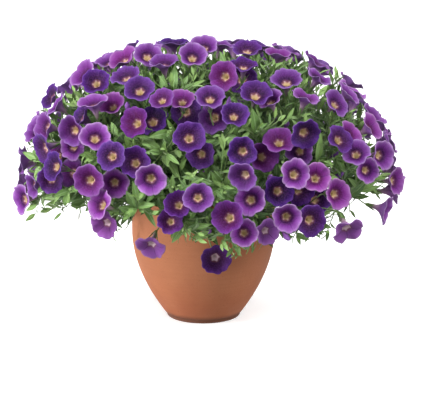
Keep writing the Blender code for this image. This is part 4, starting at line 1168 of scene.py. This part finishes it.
    def grow(self, target, ending, lengths, columns):
        """A twig with leaves from a stem near the target, and perhaps a bud. True if one fits."""
        options = []
        for source, k, distance in self.tree.find_range(target, TWIG_REACH[1]):
            if distance > TWIG_REACH[0]:
                outward = (target - source).normalized().dot(ending)
                options.append((distance * (1.7 - outward), k))
        for _, k in sorted(options)[:SOURCES_TRIED]:
            shoot, source, way = self.sources[k]
            reach = (target - source).length
            line = smooth_line([source, target], 7, first=way * reach * 0.9, last=ending * reach * 0.7)
            if any(self.is_near_flower(point, TWIG_CLEARANCE) or self.in_pot(point)
                   for point in line[2:]):
                continue
            leaves = self.leaves_along(line, LEAF_SPACING, lengths)
            if len(leaves) < FEWEST_LEAVES:
                continue
            growth = self.greens[shoot["name"]]
            radii = evenly(TWIG_RADIUS * 1.3, TWIG_RADIUS * 0.6, len(line))
            points, faces = tube(line, radii, TWIG_SIDES)
            growth.add(points, faces, SKIN, (0.5, self.chance.uniform(0.0, 0.5), 0.0))
            self.add_leaves(growth, leaves, columns)
            if shoot["blooms"] and not self.loose and self.chance.random() < BUD_SHARE:
                self.add_bud(shoot["name"], line)
            return True
        return False

    def hanging_sprays(self):
        """The sprays that hang from the underside, where the photograph shows them."""
        self.loose = True
        for x, y in HANGING_SPRAYS:
            for nearness in evenly(*SPRAY_NEARNESS, 6):
                target = point_seen(x, y, nearness)
                down = (dome_normal(target) * 0.3 - UP).normalized()
                if self.grow(target, down, LEAF_LENGTHS, LEAF_COLUMNS):
                    break
        self.loose = False

    def twig(self, direction, depths, lengths, columns):
        """A thin twig from the nearest stem out to the dome, below any flower in its way."""
        outer = onto_dome(DOME_CENTRE + direction)
        normal = dome_normal(outer)
        for depth in depths:
            target = outer - normal * (depth + self.chance.uniform(0.0, 0.004))
            if (self.is_near_flower(target, END_CLEARANCE) or self.hides_flower(target)
                    or self.hangs(target)):
                continue
            if self.grow(target, normal + UP * 0.25, lengths, columns):
                return

    def fill(self, count, depths, lengths, columns):
        """Twigs spread evenly over the dome, and thinly over its underside."""
        for k in range(count):
            level = 1.0 - FILLED_SPAN * (k + 0.5) / count
            angle = k * GOLDEN_ANGLE
            flat = math.sqrt(max(0.0, 1.0 - level * level))
            direction = Vector((flat * math.cos(angle), flat * math.sin(angle), level * 0.8))
            direction += Vector([self.chance.gauss(0.0, 0.04) for _ in range(3)])
            far, near = SKIRT_SHARE
            kept = far + (near - far) * math.exp(-(direction.x / 0.45) ** 2)
            if self.chance.random() < END_THINNING * end_share(onto_dome(DOME_CENTRE + direction)):
                continue
            if direction.z > 0.0 or self.chance.random() < kept:
                self.twig(direction, depths, lengths, columns)


# Pot and soil


def apply_modifiers(obj):
    graph = bpy.context.evaluated_depsgraph_get()
    finished = bpy.data.meshes.new_from_object(obj.evaluated_get(graph))
    obj.modifiers.clear()
    obj.data = finished


def bowl_radius(height):
    if height >= BELLY_HEIGHT:
        return RIM_RADIUS
    rise = max(0.0, (height - FOOT_HEIGHT) / (BELLY_HEIGHT - FOOT_HEIGHT))
    return BOWL_RADIUS + (RIM_RADIUS - BOWL_RADIUS) * (1.0 - (1.0 - rise) ** BOWL_POWER)


def arc(centre, radius, start, end, steps):
    return [(centre[0] + radius * math.cos(math.radians(angle)),
             centre[1] + radius * math.sin(math.radians(angle)))
            for angle in evenly(start, end, steps)]


def pot_profile():
    """From the middle of the floor up the inside, over the rim and down the outside."""
    inside = [(0.0, FLOOR)] + [(bowl_radius(z) - WALL, z) for z in evenly(FLOOR, BELLY_HEIGHT, 14)]
    top = POT_HEIGHT - RIM_ROUNDING
    rim = arc((RIM_RADIUS - WALL + RIM_ROUNDING, top), RIM_ROUNDING, 180.0, 90.0, 5)
    rim += arc((RIM_RADIUS - RIM_ROUNDING, top), RIM_ROUNDING, 90.0, 0.0, 5)
    outside = [(bowl_radius(z), z) for z in evenly(BELLY_HEIGHT, FOOT_HEIGHT, 26)]
    foot = [(FOOT_RADIUS, FOOT_HEIGHT - RIM_ROUNDING), (FOOT_RADIUS, FOOT_BEVEL),
            (FOOT_RADIUS - FOOT_BEVEL, 0.0), (0.0, 0.0)]
    return inside + rim + outside + foot


def turned(name, profile, sides):
    mesh = bpy.data.meshes.new(name)
    points = [(radius, 0.0, height) for radius, height in profile]
    mesh.from_pydata(points, [(k, k + 1) for k in range(len(points) - 1)], [])
    obj = new_object(name, mesh)
    screw = obj.modifiers.new("Turn", "SCREW")
    screw.steps = sides
    screw.render_steps = sides
    screw.use_merge_vertices = True
    screw.merge_threshold = 0.00002
    return obj


def make_pot():
    pot = turned("terracotta_pot", pot_profile(), POT_SIDES)
    cutters = bpy.data.collections.new("drain_hole_cutters")
    bpy.context.scene.collection.children.link(cutters)
    for k in range(DRAIN_HOLES):
        angle = math.tau * (k + 0.5) / DRAIN_HOLES
        bpy.ops.mesh.primitive_cylinder_add(
            vertices=32, radius=DRAIN_RADIUS, depth=3.0 * FLOOR,
            location=(DRAIN_CIRCLE * math.cos(angle), DRAIN_CIRCLE * math.sin(angle), FLOOR / 2.0))
        hole = bpy.context.object
        for collection in hole.users_collection:
            collection.objects.unlink(hole)
        cutters.objects.link(hole)
    cut = pot.modifiers.new("Holes", "BOOLEAN")
    cut.operation = "DIFFERENCE"
    cut.operand_type = "COLLECTION"
    cut.collection = cutters
    cut.solver = "EXACT"
    apply_modifiers(pot)
    for hole in list(cutters.objects):
        bpy.data.objects.remove(hole, do_unlink=True)
    bpy.data.collections.remove(cutters)
    pot.data.shade_smooth()
    pot.data.set_sharp_from_angle(angle=math.radians(50.0))
    pot.data.materials.append(clay_material())
    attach(pot, "root")
    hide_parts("pot")


def ring(radius, height):
    return [(radius * math.cos(math.tau * k / SOIL_SIDES), radius * math.sin(math.tau * k / SOIL_SIDES),
             height) for k in range(SOIL_SIDES)]


def soil_surface(chance):
    """Rings of the crowned, uneven surface, from its middle out."""
    phases = [chance.uniform(0.0, math.tau) for _ in range(6)]
    points = []
    for share in evenly(0.0001, 1.0, SOIL_RINGS):
        crown = SOIL_CROWN * (1.0 - share ** 2) - 0.0015
        for x, y, _ in ring(share * (RIM_RADIUS - WALL - GAP), 0.0):
            rough = (math.sin(x * 610.0 + phases[0]) * math.sin(y * 570.0 + phases[1])
                     + 0.6 * math.sin(x * 1210.0 + y * 400.0 + phases[2])
                     + 0.6 * math.sin(y * 1330.0 - x * 510.0 + phases[3]))
            points.append((x, y, SOIL_TOP + crown + 0.00045 * rough * (1.0 - share ** 8)))
    return points


def add_crumb(growth, chance):
    """A loose crumb, half sunk into the surface."""
    angle, radius = chance.uniform(0.0, math.tau), CRUMB_CIRCLE * math.sqrt(chance.random())
    size = chance.uniform(*CRUMB_SIZES)
    crown = SOIL_CROWN * (1.0 - (radius / RIM_RADIUS) ** 2)
    middle = Vector((radius * math.cos(angle), radius * math.sin(angle),
                     SOIL_TOP + crown - 0.0013 + 0.3 * size))
    ways, reaches = [], []
    for _ in range(3):
        ways.append(Vector([chance.gauss(0.0, 1.0) for _ in range(3)]).normalized())
        reaches.append(size * chance.uniform(*CRUMB_FLATNESS))
    bead(growth, middle, ways, reaches, 0.0, 0.0)


def make_soil(chance):
    """A crumbly crowned surface, and below it the sides and the bottom, inside the pot."""
    growth = Growth()
    points = soil_surface(chance)
    for height in evenly(SOIL_TOP - 0.004, FLOOR + GAP, 12):
        points += ring(bowl_radius(height) - WALL - GAP, height)
    points += ring(0.0001, FLOOR + GAP)
    growth.add(points, sheet_faces(len(points) // SOIL_SIDES, SOIL_SIDES, around=True), 0.0, 0.0)
    for _ in range(CRUMBS):
        add_crumb(growth, chance)
    soil = growth.piece("loose_soil", soil_material())
    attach(soil, "root")
    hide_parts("soil")


# The whole plant


def make_plant(frame):
    chance = random.Random(SEED)
    shoots = [read_shoot(name, node) for name, node in sorted(frame["nodes"].items())
              if "shoot" in name]
    greens = {shoot["name"]: Growth() for shoot in shoots}
    flowers = {shoot["name"]: Growth() for shoot in shoots if shoot["blooms"]}
    petals, foliage = petal_material(), green_material()
    filler = Filler(shoots, greens, flowers, chance)
    for shoot in shoots:
        growth = greens[shoot["name"]]
        stem(growth, shoot, chance)
        for bloom in shoot["blooms"]:
            pedicel(growth, shoot, bloom, chance)
        for bloom in shoot["blooms"]:
            calyx(growth, bloom, chance)
        for leaf in shoot["leaves"]:
            filler.turn_aside(leaf)
            blade(growth, leaf, filler.tone(leaf, 0.2), wave=0.1, droop=chance.uniform(0.03, 0.15))
        filler.add_leaves(growth, filler.leaves_along(shoot["stem"], STEM_LEAF_SPACING,
                                                      STEM_LEAF_LENGTHS))
    filler.hanging_sprays()
    filler.fill(TWIGS, TWIG_DEPTHS, LEAF_LENGTHS, LEAF_COLUMNS)
    filler.fill(INNER_TWIGS, INNER_DEPTHS, INNER_LENGTHS, INNER_COLUMNS)
    for shoot in shoots:
        piece = greens[shoot["name"]].piece(shoot["name"] + "_foliage", foliage)
        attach(piece, "root")
        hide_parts(shoot["name"])
        if shoot["blooms"]:
            growth = flowers[shoot["name"]]
            for bloom in shoot["blooms"]:
                tone = bloom_tone(bloom, chance)
                corolla(growth, bloom, tone, chance)
                anthers(growth, bloom, tone)
            piece = growth.piece(shoot["name"] + "_flowers", petals)
            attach(piece, "root")
            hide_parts(shoot["name"])


clear_scene()
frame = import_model()
make_camera()
make_lights()
make_floor()
make_pot()
make_soil(random.Random(SEED + 1))
make_plant(frame)
